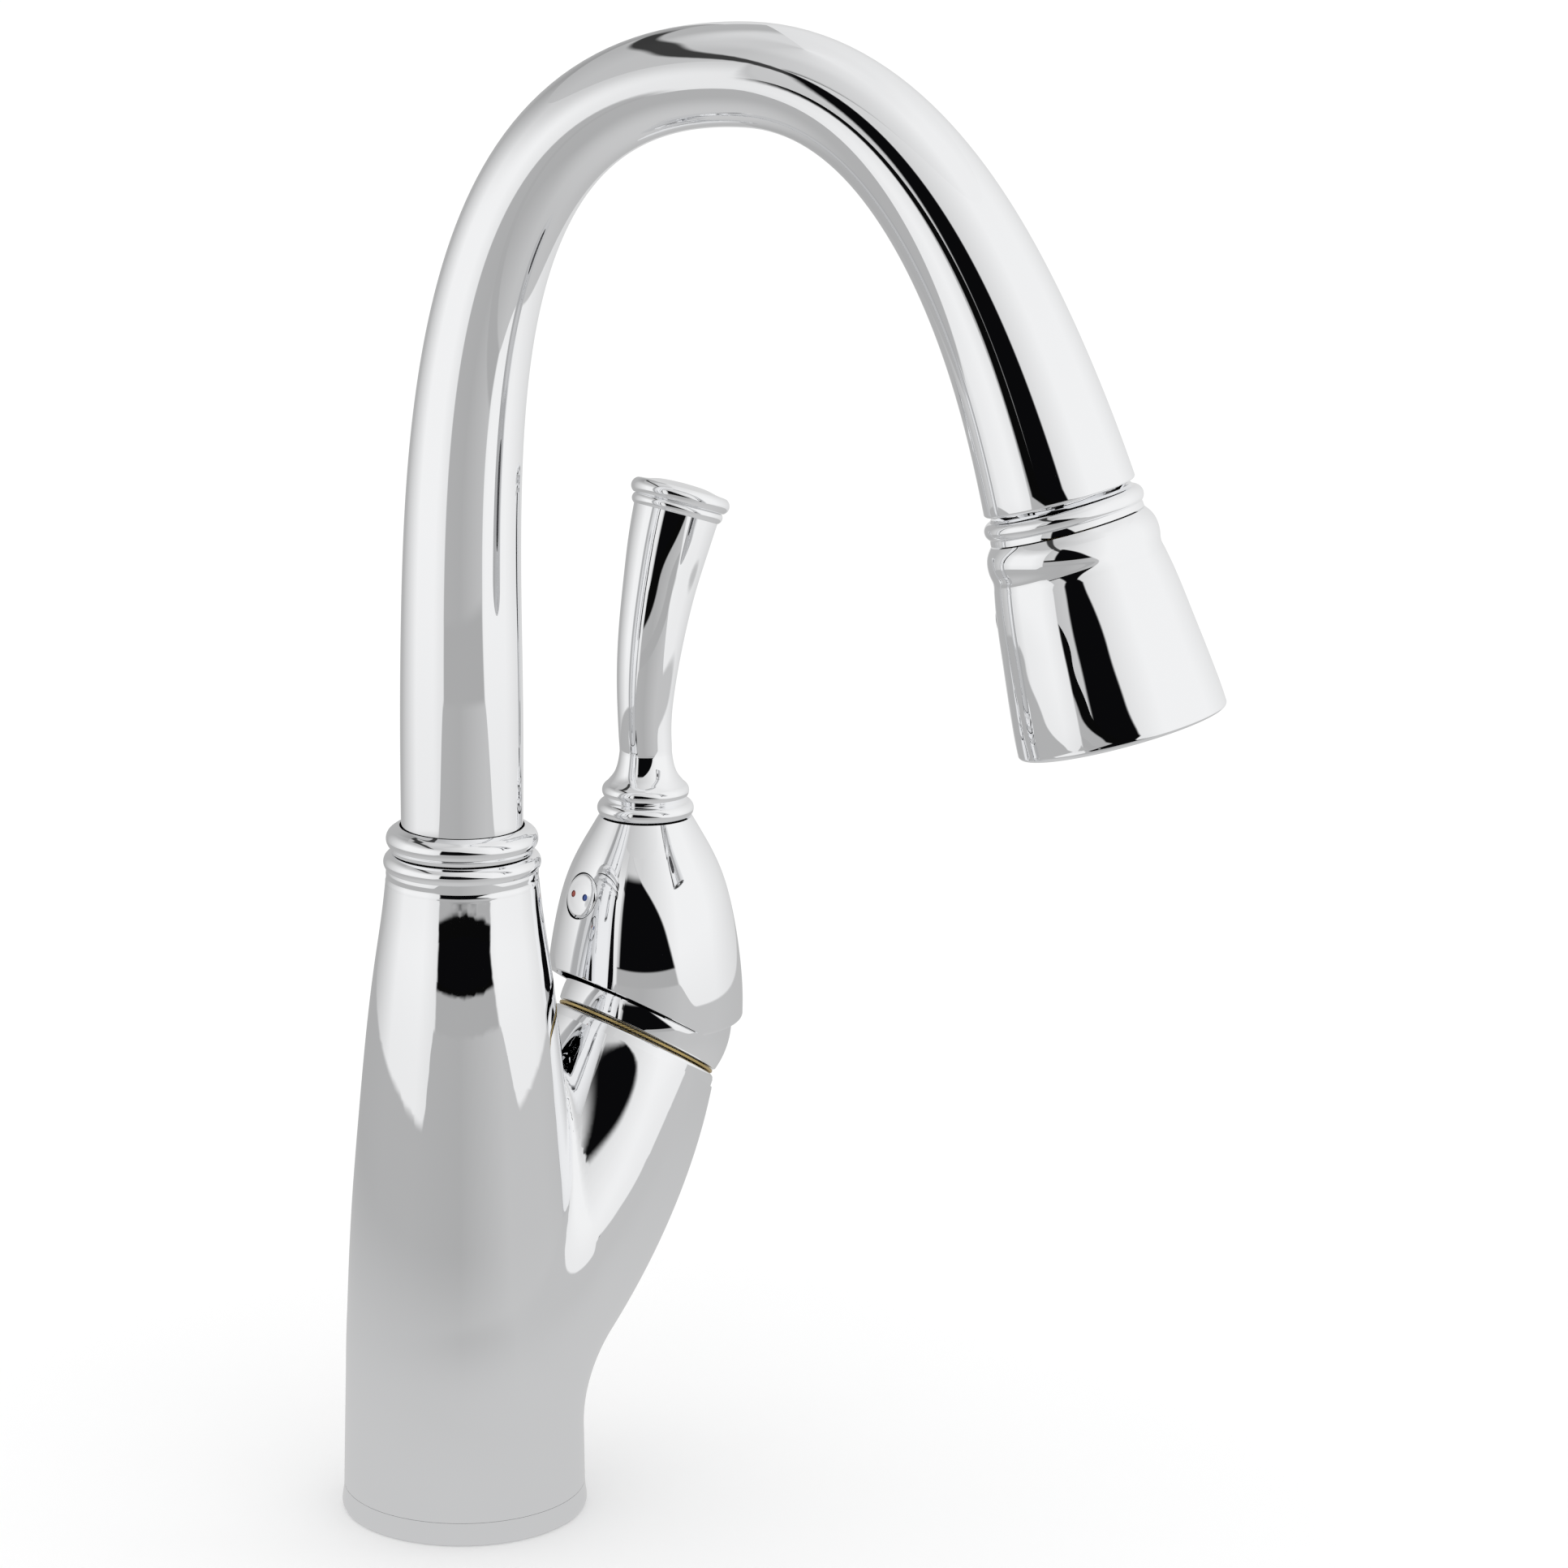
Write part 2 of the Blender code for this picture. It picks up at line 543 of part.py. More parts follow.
# ---- handle -----------------------------------------------------------------------------------
def bell_outline():
    """Handle bell in the upright frame at the pivot, with a boss inside for the stem."""
    outer = smooth([(10.2, 46.8), (11.6, 44.4), (14.2, 39.8), (16.9, 34.0), (19.5, 24.4), (21.1, 14.9),
                    (21.85, 5.0), (21.75, 2.2)], 1)
    rim = [(21.2, 1.2), (20.0, 1.0)]
    inner = [(19.8, 8.0), (18.9, 18.0), (17.0, 26.0), (13.6, 35.0), (9.0, 40.0), (6.0, 40.0), (6.0, 22.0),
             (3.3, 22.0), (3.3, 37.6), (0.0, 37.6)]
    return [(0.0, 46.8)] + outer + rim + inner


def button_frame():
    """Frame on the index button's axis, with its origin on the lever's axis."""
    out = Vector((-cos(radians(BUTTON_TILT)), 0.0, sin(radians(BUTTON_TILT))))
    skin = PIVOT_POINT + Vector((-BUTTON_SKIN, 0.0, BUTTON_HEIGHT))
    return frame_at(skin, out)


def make_handle():
    """Bell with its raised back edge, lever arm, end cap, index button and set screw."""
    bell = turned("handle_bell", bell_outline(), "polished_chrome", pivot_frame(), steps=FINE_STEPS,
                  closed=False)
    bpy.ops.mesh.primitive_cube_add(size=1.0)
    trim = bpy.context.object
    trim.name = "bell_trim"
    trim.data.transform(Matrix.Diagonal((0.08, 0.08, 0.02, 1.0)))
    trim.matrix_world = valve_frame(1.1) @ Matrix.Translation((0.0, 0.0, -0.01))
    for owner in list(trim.users_collection):
        owner.objects.unlink(trim)
    CUTTERS.objects.link(trim)
    trim.hide_render = True
    trim.display_type = "WIRE"
    access = rod("button_hole", BUTTON_RADIUS + GAP, -6.0, 4.0, frame=button_frame(), steps=24, cutter=True)
    inward = frame_at(PIVOT_POINT + Vector((0.0, 0.0, BUTTON_HEIGHT)), Vector((-1.0, 0.0, 0.0)))
    screw_way = rod("screw_hole", 2.4, 3.2, 7.0, frame=inward, steps=12, cutter=True)
    cut(bell, trim, access, screw_way)
    rod("handle_set_screw", 2.0, 3.4, 7.6, "zinc_steel", inward, steps=12)

    button = rod("index_button", BUTTON_RADIUS, -2.6, 0.3, "polished_chrome", button_frame(), steps=24)
    for name, aside in (("index_dot_hot", 2.1), ("index_dot_cold", -2.1)):
        spot = button_frame() @ Matrix.Translation((0.0, aside * MM, 0.0))
        recess = rod(name + "_recess", 0.95, -0.5, 1.0, frame=spot, steps=12, cutter=True)
        cut(button, recess)
        colour = "red_enamel" if name.endswith("hot") else "blue_enamel"
        rod(name, 0.75, -0.25, 0.3, colour, spot, steps=12)

    make_lever()


def make_lever():
    """Turned foot with two rolled rings, the curved arm, and the flat-rimmed end cap."""
    foot = [(0.0, 47.1), (9.6, 47.1)] + list(reversed(arc((8.75, 48.5), 1.9, 72.0, -48.0, 4)))
    foot += [(9.05, 50.6)] + list(reversed(arc((7.75, 52.5), 1.85, 62.0, -58.0, 4)))
    foot += [(7.2, 55.6), (6.1, 58.4), (5.65, 61.4), (5.6, 66.0), (0.0, 66.0)]
    lever = turned("lever_arm", list(reversed(foot)), "polished_chrome", pivot_frame(), steps=22, closed=False)
    tip = Vector((LEVER_TIP[0], 0.0, LEVER_TIP[1]))
    lean = radians(LEVER_TIP_TILT)
    end_axis = Vector((sin(lean), 0.0, cos(lean)))
    back = tip - end_axis * 16.0
    arm = [(0.0, 0.0, 62.0)] + bezier((0.0, 0.0, 62.0), (-1.6, 0.0, 78.0), tuple(back), tuple(tip), 9)
    radii = [graded(((0.0, 5.63), (0.35, 6.5), (0.75, 7.9), (1.0, 9.3)), s) for s in lengths(arm)]
    horn = sweep("lever_form", [Vector(p) + PIVOT_POINT for p in arm], radii, sides=20, cutter=True)
    combine(lever, horn, "UNION")

    cap = [(0.0, 5.6), (5.0, 5.3), (8.6, 4.5)] + arc((9.35, 3.0), 1.5, 62.0, -60.0, 4)
    cap += arc((8.35, 1.75), 1.4, 25.0, -62.0, 3) + [(0.0, 0.4)]
    turned("lever_cap", cap, "polished_chrome", frame_at(PIVOT_POINT + tip, end_axis), steps=22, closed=False)


def main():
    """Build every piece."""
    make_base()
    make_body()
    make_spout()
    make_hose()
    make_spray_head()
    make_valve()
    make_handle()
    for obj in PARTS.objects:
        smooth_shading(obj)


main()
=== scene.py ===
"""Looks of a pull-down bar faucet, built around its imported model.

Lengths are in millimetres while a piece is modelled, and it is made metres when it is finished.
"""

from __future__ import annotations

import logging
from dataclasses import dataclass
from enum import Enum
from math import cos, pi, radians, sin, sqrt
from typing import Sequence

import bmesh
import bpy
import numpy as np
from mathutils import Matrix, Vector


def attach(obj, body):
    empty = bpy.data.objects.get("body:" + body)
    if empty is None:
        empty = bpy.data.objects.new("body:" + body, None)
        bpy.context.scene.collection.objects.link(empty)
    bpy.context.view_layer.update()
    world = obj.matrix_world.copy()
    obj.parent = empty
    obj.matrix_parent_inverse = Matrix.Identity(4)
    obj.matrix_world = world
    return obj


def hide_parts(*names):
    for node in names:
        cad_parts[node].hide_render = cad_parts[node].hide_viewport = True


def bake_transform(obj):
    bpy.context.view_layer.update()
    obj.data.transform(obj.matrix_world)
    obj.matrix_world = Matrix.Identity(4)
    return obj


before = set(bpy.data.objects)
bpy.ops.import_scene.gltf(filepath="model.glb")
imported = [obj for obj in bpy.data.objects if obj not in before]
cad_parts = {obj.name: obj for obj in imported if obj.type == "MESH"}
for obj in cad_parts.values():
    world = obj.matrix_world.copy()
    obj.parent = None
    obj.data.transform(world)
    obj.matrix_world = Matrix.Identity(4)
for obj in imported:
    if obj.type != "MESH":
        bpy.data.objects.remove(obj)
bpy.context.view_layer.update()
LOG = logging.getLogger("faucet")

MM = 0.001
Point = tuple[float, float]

SPOUT_TURN = 34.0
OUTLET = (130.3, 234.8)
OUTLET_TILT = 17.0
PIVOT = Vector((49.0, 0.0, 102.9))
VALVE_TILT = 31.5


class Body(Enum):
    """The rigid bodies of the frame."""

    FIXED = "body"
    SPOUT = "spout"
    WAND = "wand"
    SPRAY_BUTTON = "spray_button"
    CARRIER = "temperature_carrier"
    HANDLE = "handle"


# ---- curves -----------------------------------------------------------------------------------
class Spline:
    """Smooth curve through (place, value) keys, straight beyond its ends."""

    def __init__(self, keys: Sequence[Point]) -> None:
        """Work out the bend at each key.

        Args:
            keys: Places in rising order, with the value at each.
        """
        self.place, self.value = (np.array(column, float) for column in zip(*keys))
        step = np.diff(self.place)
        rise = np.diff(self.value) / step
        count = len(self.place)
        rows = np.eye(count)
        target = np.zeros(count)
        for i in range(1, count - 1):
            rows[i, i - 1:i + 2] = step[i - 1], 2 * (step[i - 1] + step[i]), step[i]
            target[i] = 6 * (rise[i] - rise[i - 1])
        self.bend = np.linalg.solve(rows, target)
        self.step = step

    def __call__(self, at: float | np.ndarray) -> np.ndarray:
        """Value at one place or many."""
        at = np.asarray(at, float)
        inside = np.clip(at, self.place[0], self.place[-1])
        i = np.clip(np.searchsorted(self.place, inside) - 1, 0, len(self.step) - 1)
        h = self.step[i]
        a, b = (self.place[i + 1] - inside) / h, (inside - self.place[i]) / h
        curved = ((a ** 3 - a) * self.bend[i] + (b ** 3 - b) * self.bend[i + 1]) * h * h / 6
        value = a * self.value[i] + b * self.value[i + 1] + curved
        low = (self.value[1] - self.value[0]) / self.step[0] - self.bend[1] * self.step[0] / 6
        high = (self.value[-1] - self.value[-2]) / self.step[-1] + self.bend[-2] * self.step[-1] / 6
        beyond = at - inside
        return value + beyond * np.where(beyond < 0, low, high)


def arc(centre: Point, radius: float, start: float, end: float, count: int = 10) -> list[Point]:
    """Points on an arc of an outline.

    Args:
        centre: Its centre, as radius and height.
        radius: Its radius.
        start: First angle in degrees, from outwards towards up.
        end: Last angle.
        count: Number of spans.

    Returns:
        The points, both ends included.
    """
    angles = np.radians(np.linspace(start, end, count + 1))
    return [(centre[0] + radius * cos(a), centre[1] + radius * sin(a)) for a in angles]


def flowing(points: Sequence[Point], count: int) -> list[Point]:
    """Even points on one smooth curve through the given points.

    Args:
        points: Corners of an outline that the curve passes through.
        count: Number of spans.

    Returns:
        The curve's points.
    """
    runs = np.concatenate([[0.0], np.cumsum([sqrt((a[0] - b[0]) ** 2 + (a[1] - b[1]) ** 2)
                                             for a, b in zip(points, points[1:])])])
    across = Spline([(r, p[0]) for r, p in zip(runs, points)])
    along = Spline([(r, p[1]) for r, p in zip(runs, points)])
    places = np.linspace(0.0, runs[-1], count + 1)
    return list(zip(across(places).tolist(), along(places).tolist()))


def bezier(corners: Sequence[Point], count: int) -> np.ndarray:
    """Even steps along a cubic Bezier curve, first corner included."""
    t = np.linspace(0.0, 1.0, count + 1)[:, None]
    p = [np.array(c, float) for c in corners]
    return (1 - t) ** 3 * p[0] + 3 * (1 - t) ** 2 * t * p[1] + 3 * (1 - t) * t * t * p[2] + t ** 3 * p[3]


class Path:
    """Smooth plane path, read by running length in mm."""

    def __init__(self, points: np.ndarray) -> None:
        """Measure the path.

        Args:
            points: Dense points of the path, as x and z.
        """
        steps = np.linalg.norm(np.diff(points, axis=0), axis=1)
        keep = np.concatenate([[True], steps > 1e-6])
        self.points = points[keep]
        self.run = np.concatenate([[0.0], np.cumsum(steps[steps > 1e-6])])

    @property
    def length(self) -> float:
        """Whole length in mm."""
        return float(self.run[-1])

    def at(self, run: float) -> np.ndarray:
        """Point at a running length."""
        return np.array([np.interp(run, self.run, self.points[:, k]) for k in (0, 1)])

    def heading(self, run: float) -> float:
        """Angle of the path at a running length, in radians, from up towards +x."""
        near = 0.6
        ahead = self.at(min(run + near, self.length)) - self.at(max(run - near, 0.0))
        return float(np.arctan2(ahead[0], ahead[1]))


# ---- frames -----------------------------------------------------------------------------------
def looking(point: Vector, axis: Vector, side: Vector) -> Matrix:
    """Frame in mm with its Z along an axis and its Y near to side."""
    z = axis.normalized()
    x = side.cross(z).normalized()
    return Matrix.Translation(point) @ Matrix((x, z.cross(x), z)).transposed().to_4x4()


def spout_plane() -> Matrix:
    """Frame whose X is the spout's reach and whose Z is up."""
    turn = radians(SPOUT_TURN)
    x = Vector((sin(turn), -cos(turn), 0.0))
    z = Vector((0.0, 0.0, 1.0))
    return Matrix((x, z.cross(x), z)).transposed().to_4x4()


def outlet_frame() -> Matrix:
    """Frame at the spout's outlet, with Z back up into the spout and X towards the column."""
    tilt = radians(OUTLET_TILT)
    local = Matrix.Translation((OUTLET[0], 0.0, OUTLET[1])) @ Matrix.Rotation(-tilt, 4, "Y")
    return spout_plane() @ local @ Matrix.Rotation(pi, 4, "Z")


def valve_frame() -> Matrix:
    """Frame at the lever's pivot, with Z along the valve."""
    return Matrix.Translation(PIVOT) @ Matrix.Rotation(radians(VALVE_TILT), 4, "Y")


def pivot_frame() -> Matrix:
    """Upright frame at the lever's pivot."""
    return Matrix.Translation(PIVOT)


# ---- modelling --------------------------------------------------------------------------------
@dataclass(frozen=True)
class Station:
    """One ring of a swept piece: its centre, the way it faces, and its radius."""

    x: float
    z: float
    facing: float
    radius: float


class Bench:
    """Modelling steps, each as a hand would do it."""

    @staticmethod
    def clear() -> None:
        """Leave edit mode and select nothing."""
        if bpy.context.object and bpy.context.object.mode != "OBJECT":
            bpy.ops.object.mode_set(mode="OBJECT")
        bpy.ops.object.select_all(action="DESELECT")

    @staticmethod
    def pick(*objects: bpy.types.Object) -> None:
        """Select these objects only, the last of them active."""
        Bench.clear()
        for obj in objects:
            obj.select_set(True)
        bpy.context.view_layer.objects.active = objects[-1]

    @staticmethod
    def start(name: str) -> bpy.types.Object:
        """Name the new primitive, and open it in edit mode with all of it selected."""
        obj = bpy.context.object
        obj.name = obj.data.name = name
        bpy.ops.object.mode_set(mode="EDIT")
        bpy.ops.mesh.select_all(action="SELECT")
        return obj

    @staticmethod
    def tidy(merge: float = 0.0004) -> None:
        """In edit mode: merge doubles and turn every face outwards."""
        bpy.ops.mesh.select_all(action="SELECT")
        bpy.ops.mesh.remove_doubles(threshold=merge)
        bpy.ops.mesh.normals_make_consistent(inside=False)
        bpy.ops.object.mode_set(mode="OBJECT")

    @staticmethod
    def turned(name: str, outline: Sequence[Point], steps: int = 96, closed: bool = True) -> bpy.types.Object:
        """Trace an outline from one point and spin it round Z.

        Args:
            name: Piece's name.
            outline: Points as radius and height.
            steps: Steps of the spin.
            closed: Whether the outline is a ring; otherwise it starts and ends on the axis.

        Returns:
            The turned object, in mm.
        """
        Bench.clear()
        bpy.ops.mesh.primitive_circle_add(vertices=3, radius=1.0)
        obj = Bench.start(name)
        bpy.ops.mesh.merge(type="CENTER")
        points = [Vector((r, 0.0, z)) for r, z in outline]
        if closed:
            points.append(points[0])
        bpy.ops.transform.translate(value=points[0])
        for a, b in zip(points, points[1:]):
            bpy.ops.mesh.extrude_vertices_move(TRANSFORM_OT_translate={"value": b - a})
        bpy.ops.mesh.select_all(action="SELECT")
        bpy.ops.mesh.remove_doubles(threshold=0.0004)
        bpy.ops.mesh.select_all(action="SELECT")
        bpy.ops.mesh.spin(steps=steps, angle=2 * pi, center=(0, 0, 0), axis=(0, 0, 1))
        Bench.tidy()
        return obj

    @staticmethod
    def swept(name: str, stations: Sequence[Station], sides: int = 96,
              hollow: bool = False) -> bpy.types.Object:
        """Extrude a ring from station to station in the XZ plane.

        Args:
            name: Piece's name.
            stations: The rings, in order.
            sides: Sides of a ring.
            hollow: Whether the last ring joins the first; otherwise both ends are closed.

        Returns:
            The swept object, in mm.
        """
        Bench.clear()
        first = stations[0]
        bpy.ops.mesh.primitive_circle_add(vertices=sides, radius=first.radius,
                                          location=(first.x, 0.0, first.z),
                                          rotation=(0.0, first.facing, 0.0))
        obj = bpy.context.object
        bpy.ops.object.transform_apply(location=True, rotation=True, scale=True)
        obj = Bench.start(name)
        for a, b in zip(stations, stations[1:]):
            bpy.ops.mesh.extrude_region_move(TRANSFORM_OT_translate={"value": (b.x - a.x, 0.0, b.z - a.z)})
            middle = (b.x, 0.0, b.z)
            if abs(b.facing - a.facing) > 1e-6:
                bpy.ops.transform.rotate(value=-(b.facing - a.facing), orient_axis="Y", orient_type="GLOBAL",
                                         center_override=middle)
            if abs(b.radius - a.radius) > 1e-6:
                k = b.radius / a.radius
                bpy.ops.transform.resize(value=(k, k, k), center_override=middle)
        if not hollow:
            bpy.ops.mesh.edge_face_add()
        shape = bmesh.from_edit_mesh(obj.data)
        shape.verts.ensure_lookup_table()
        if not hollow:
            bpy.ops.mesh.select_all(action="DESELECT")
        for i in range(sides):
            shape.verts[i].select_set(True)
        shape.select_flush(True)
        bmesh.update_edit_mesh(obj.data)
        if hollow:
            bpy.ops.mesh.bridge_edge_loops()
        else:
            bpy.ops.mesh.edge_face_add()
        Bench.tidy()
        return obj

    @staticmethod
    def apply(obj: bpy.types.Object, kind: str, **settings: object) -> None:
        """Add a modifier with its settings, and apply it."""
        Bench.pick(obj)
        step = obj.modifiers.new(kind.lower(), kind)
        for key, value in settings.items():
            setattr(step, key, value)
        bpy.ops.object.modifier_apply(modifier=step.name)

    @staticmethod
    def cut(obj: bpy.types.Object, *tools: bpy.types.Object) -> None:
        """Cut each tool out of the object, and throw the tool away."""
        for tool in tools:
            Bench.apply(obj, "BOOLEAN", operation="DIFFERENCE", solver="EXACT", object=tool)
            bpy.data.objects.remove(tool, do_unlink=True)

    @staticmethod
    def bisect(obj: bpy.types.Object, point: Vector, normal: Vector) -> None:
        """Take away what lies beyond a plane on its normal's side, and close the cut."""
        Bench.pick(obj)
        bpy.ops.object.mode_set(mode="EDIT")
        bpy.ops.mesh.select_all(action="SELECT")
        bpy.ops.mesh.bisect(plane_co=point, plane_no=normal, use_fill=True, clear_outer=True)
        bpy.ops.object.mode_set(mode="OBJECT")

    @staticmethod
    def rod(name: str, radius: float, low: float, high: float, place: Matrix,
            sides: int = 64) -> bpy.types.Object:
        """Plain round tool for cutting, at a place in mm."""
        Bench.clear()
        bpy.ops.mesh.primitive_cylinder_add(vertices=sides, radius=radius, depth=high - low)
        obj = bpy.context.object
        obj.name = name
        obj.matrix_world = place @ Matrix.Translation((0.0, 0.0, (low + high) / 2))
        Bench.settle(obj)
        return obj

    @staticmethod
    def settle(obj: bpy.types.Object) -> None:
        """Move the object's place into its mesh."""
        Bench.pick(obj)
        bpy.ops.object.transform_apply(location=True, rotation=True, scale=True)

    @staticmethod
    def put(obj: bpy.types.Object, place: Matrix) -> None:
        """Move a piece from its own frame to its place, both in mm."""
        obj.matrix_world = place
        Bench.settle(obj)

    @staticmethod
    def done(obj: bpy.types.Object, finish: Finish, body: Body | None, *nodes: str,
             crease: float = 38.0) -> None:
        """Turn a piece into metres, dress it and hand it to the frame.

        Args:
            obj: The piece, in mm.
            finish: Its finish.
            body: The body that it moves with, or None for a piece that is left unattached.
            nodes: CAD nodes that it stands for.
            crease: Edges sharper than this stay sharp, in degrees.
        """
        obj.matrix_world = Matrix.Scale(MM, 4)
        Bench.settle(obj)
        bpy.ops.object.shade_smooth_by_angle(angle=radians(crease))
        obj.data.materials.clear()
        obj.data.materials.append(finish.material())
        if body:
            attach(obj, body.value)
        if nodes:
            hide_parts(*nodes)
        LOG.info("%s: %d faces on %s", obj.name, len(obj.data.polygons), body.value if body else "two bodies")


# ---- node materials ---------------------------------------------------------------------------
class Wire:
    """Output socket of a node, with maths written as expressions."""

    def __init__(self, sheet: Sheet, socket: bpy.types.NodeSocket) -> None:
        """Keep the socket and the sheet that it is on."""
        self.sheet = sheet
        self.socket = socket

    def _maths(self, operation: str, *values: object) -> Wire:
        """Math node over these values."""
        return self.sheet.node("ShaderNodeMath", {"operation": operation}, dict(enumerate(values)))

    def __add__(self, other: object) -> Wire:
        """Sum."""
        return self._maths("ADD", self, other)

    def __radd__(self, other: object) -> Wire:
        """Sum, number first."""
        return self._maths("ADD", other, self)

    def __sub__(self, other: object) -> Wire:
        """Difference."""
        return self._maths("SUBTRACT", self, other)

    def __rsub__(self, other: object) -> Wire:
        """Difference, number first."""
        return self._maths("SUBTRACT", other, self)

    def __mul__(self, other: object) -> Wire:
        """Product."""
        return self._maths("MULTIPLY", self, other)

    def __rmul__(self, other: object) -> Wire:
        """Product, number first."""
        return self._maths("MULTIPLY", other, self)

    def __truediv__(self, other: object) -> Wire:
        """Quotient."""
        return self._maths("DIVIDE", self, other)

    def __rtruediv__(self, other: object) -> Wire:
        """Quotient, number first."""
        return self._maths("DIVIDE", other, self)

    def __pow__(self, other: object) -> Wire:
        """Power."""
        return self._maths("POWER", self, other)

    def wave(self) -> Wire:
        """Sine."""
        return self._maths("SINE", self)

    def size(self) -> Wire:
        """Absolute value."""
        return self._maths("ABSOLUTE", self)

    def between(self, low: float, high: float) -> Wire:
        """0 below low, 1 above high, and a smooth step between them."""
        return self.sheet.node("ShaderNodeMapRange", {"interpolation_type": "SMOOTHSTEP"},
                               {"Value": self, "From Min": low, "From Max": high})


class Sheet:
    """Node tree of a material or of the world."""

    def __init__(self, tree: bpy.types.NodeTree) -> None:
        """Start with no nodes."""
        self.tree = tree
        tree.nodes.clear()

    def node(self, kind: str, settings: dict[str, object] | None = None,
             inputs: dict[str | int, object] | None = None, output: str | int = 0) -> Wire:
        """Add a node.

        Args:
            kind: The node's type.
            settings: Its own settings; "stops" are a colour ramp's places and colours.
            inputs: Values or wires for its input sockets, by name or number.
            output: The output that is wanted.

        Returns:
            The wire from that output.
        """
        made = self.tree.nodes.new(kind)
        for key, value in (settings or {}).items():
            if key == "stops":
                self._stops(made.color_ramp, value)
            else:
                setattr(made, key, value)
        for key, value in (inputs or {}).items():
            if isinstance(value, Wire):
                self.tree.links.new(value.socket, made.inputs[key])
            else:
                made.inputs[key].default_value = value
        wire = Wire(self, made.outputs[output]) if made.outputs else None
        return wire

    @staticmethod
    def _stops(ramp: bpy.types.ColorRamp, stops: Sequence[tuple[float, Sequence[float]]]) -> None:
        """Set a colour ramp's stops."""
        while len(ramp.elements) < len(stops):
            ramp.elements.new(0.5)
        for element, (place, colour) in zip(ramp.elements, stops):
            element.position = place
            element.color = (*colour, 1.0)

    def place(self) -> Wire:
        """Object coordinates."""
        return self.node("ShaderNodeTexCoord", output="Object")

    def noise(self, scale: float | Sequence[float], detail: float = 2.0, rough: float = 0.5) -> Wire:
        """Noise value over the object, stretched if scale has three parts."""
        where = self.place()
        if not isinstance(scale, (int, float)):
            where = self.node("ShaderNodeMapping", inputs={"Vector": where, "Scale": tuple(scale)})
            scale = 1.0
        return self.node("ShaderNodeTexNoise", inputs={"Vector": where, "Scale": scale, "Detail": detail,
                                                       "Roughness": rough})

    def blend(self, factor: object, first: object, second: object) -> Wire:
        """Mix two colours."""
        return self.node("ShaderNodeMix", {"data_type": "RGBA"}, {"Factor": factor, 6: first, 7: second}, 2)

    def bump(self, height: Wire, distance: float, strength: float = 1.0) -> Wire:
        """Normal from a height."""
        return self.node("ShaderNodeBump", inputs={"Height": height, "Distance": distance,
                                                    "Strength": strength})


@dataclass(frozen=True)
class Finish:
    """A finish of the faucet: its name, the slot that it belongs to, and its plain values."""

    name: str
    slot: str
    colour: tuple[float, float, float]
    metallic: float
    roughness: float

    def material(self) -> bpy.types.Material:
        """Return the finish's material, made once."""
        title = "finish_" + self.name
        known = bpy.data.materials.get(title)
        if known:
            return known
        made = bpy.data.materials.new(title)
        made.use_nodes = True
        sheet = Sheet(made.node_tree)
        inputs: dict[str | int, object] = {"Base Color": (*self.colour, 1.0), "Metallic": self.metallic,
                                           "Roughness": self.roughness}
        inputs.update(self.detail(sheet))
        shader = sheet.node("ShaderNodeBsdfPrincipled", inputs=inputs)
        sheet.node("ShaderNodeOutputMaterial", inputs={"Surface": shader})
        return made

    def tint(self, share: float) -> tuple[float, float, float, float]:
        """The colour, made darker or lighter by a share."""
        return (*(min(1.0, c * share) for c in self.colour), 1.0)

    def detail(self, sheet: Sheet) -> dict[str | int, object]:
        """What changes over the surface."""
        raise NotImplementedError


@dataclass(frozen=True)
class Chrome(Finish):
    """Mirror chrome plate: a hint of polishing waves and a breath of haze."""

    haze: float = 0.008
    waves: float = 0.000001

    def detail(self, sheet: Sheet) -> dict[str | int, object]:
        """Slight haze and slow polishing waves."""
        haze = sheet.noise(45.0, 3.0)
        slow = sheet.noise(38.0, 1.0)
        colour = sheet.blend(haze, self.tint(0.985), self.tint(1.0))
        return {"Base Color": colour, "Roughness": haze * self.haze + self.roughness,
                "Normal": sheet.bump(slow, self.waves)}


@dataclass(frozen=True)
class Machined(Finish):
    """Turned metal: fine tool rings round the upright axis and small colour changes."""

    pitch: float = 0.00035

    def detail(self, sheet: Sheet) -> dict[str | int, object]:
        """Tool rings and stain."""
        height = sheet.node("ShaderNodeSeparateXYZ", inputs={0: sheet.place()}, output="Z")
        rings = (height * (2 * pi / self.pitch)).wave()
        stain = sheet.noise(180.0, 4.0)
        return {"Base Color": sheet.blend(stain, self.tint(0.78), self.tint(1.12)),
                "Roughness": stain * 0.16 + (self.roughness - 0.08), "Normal": sheet.bump(rings, 0.000012)}


@dataclass(frozen=True)
class Moulded(Finish):
    """Moulded plastic, rubber or lapped ceramic: fine grain and faint clouding."""

    grain: float = 2600.0
    depth: float = 0.00001

    def detail(self, sheet: Sheet) -> dict[str | int, object]:
        """Grain and clouding."""
        grain = sheet.noise(self.grain, 2.0)
        cloud = sheet.noise(90.0, 3.0)
        return {"Base Color": sheet.blend(cloud, self.tint(0.88), self.tint(1.1)),
                "Roughness": cloud * 0.12 + (self.roughness - 0.06), "Normal": sheet.bump(grain, self.depth)}


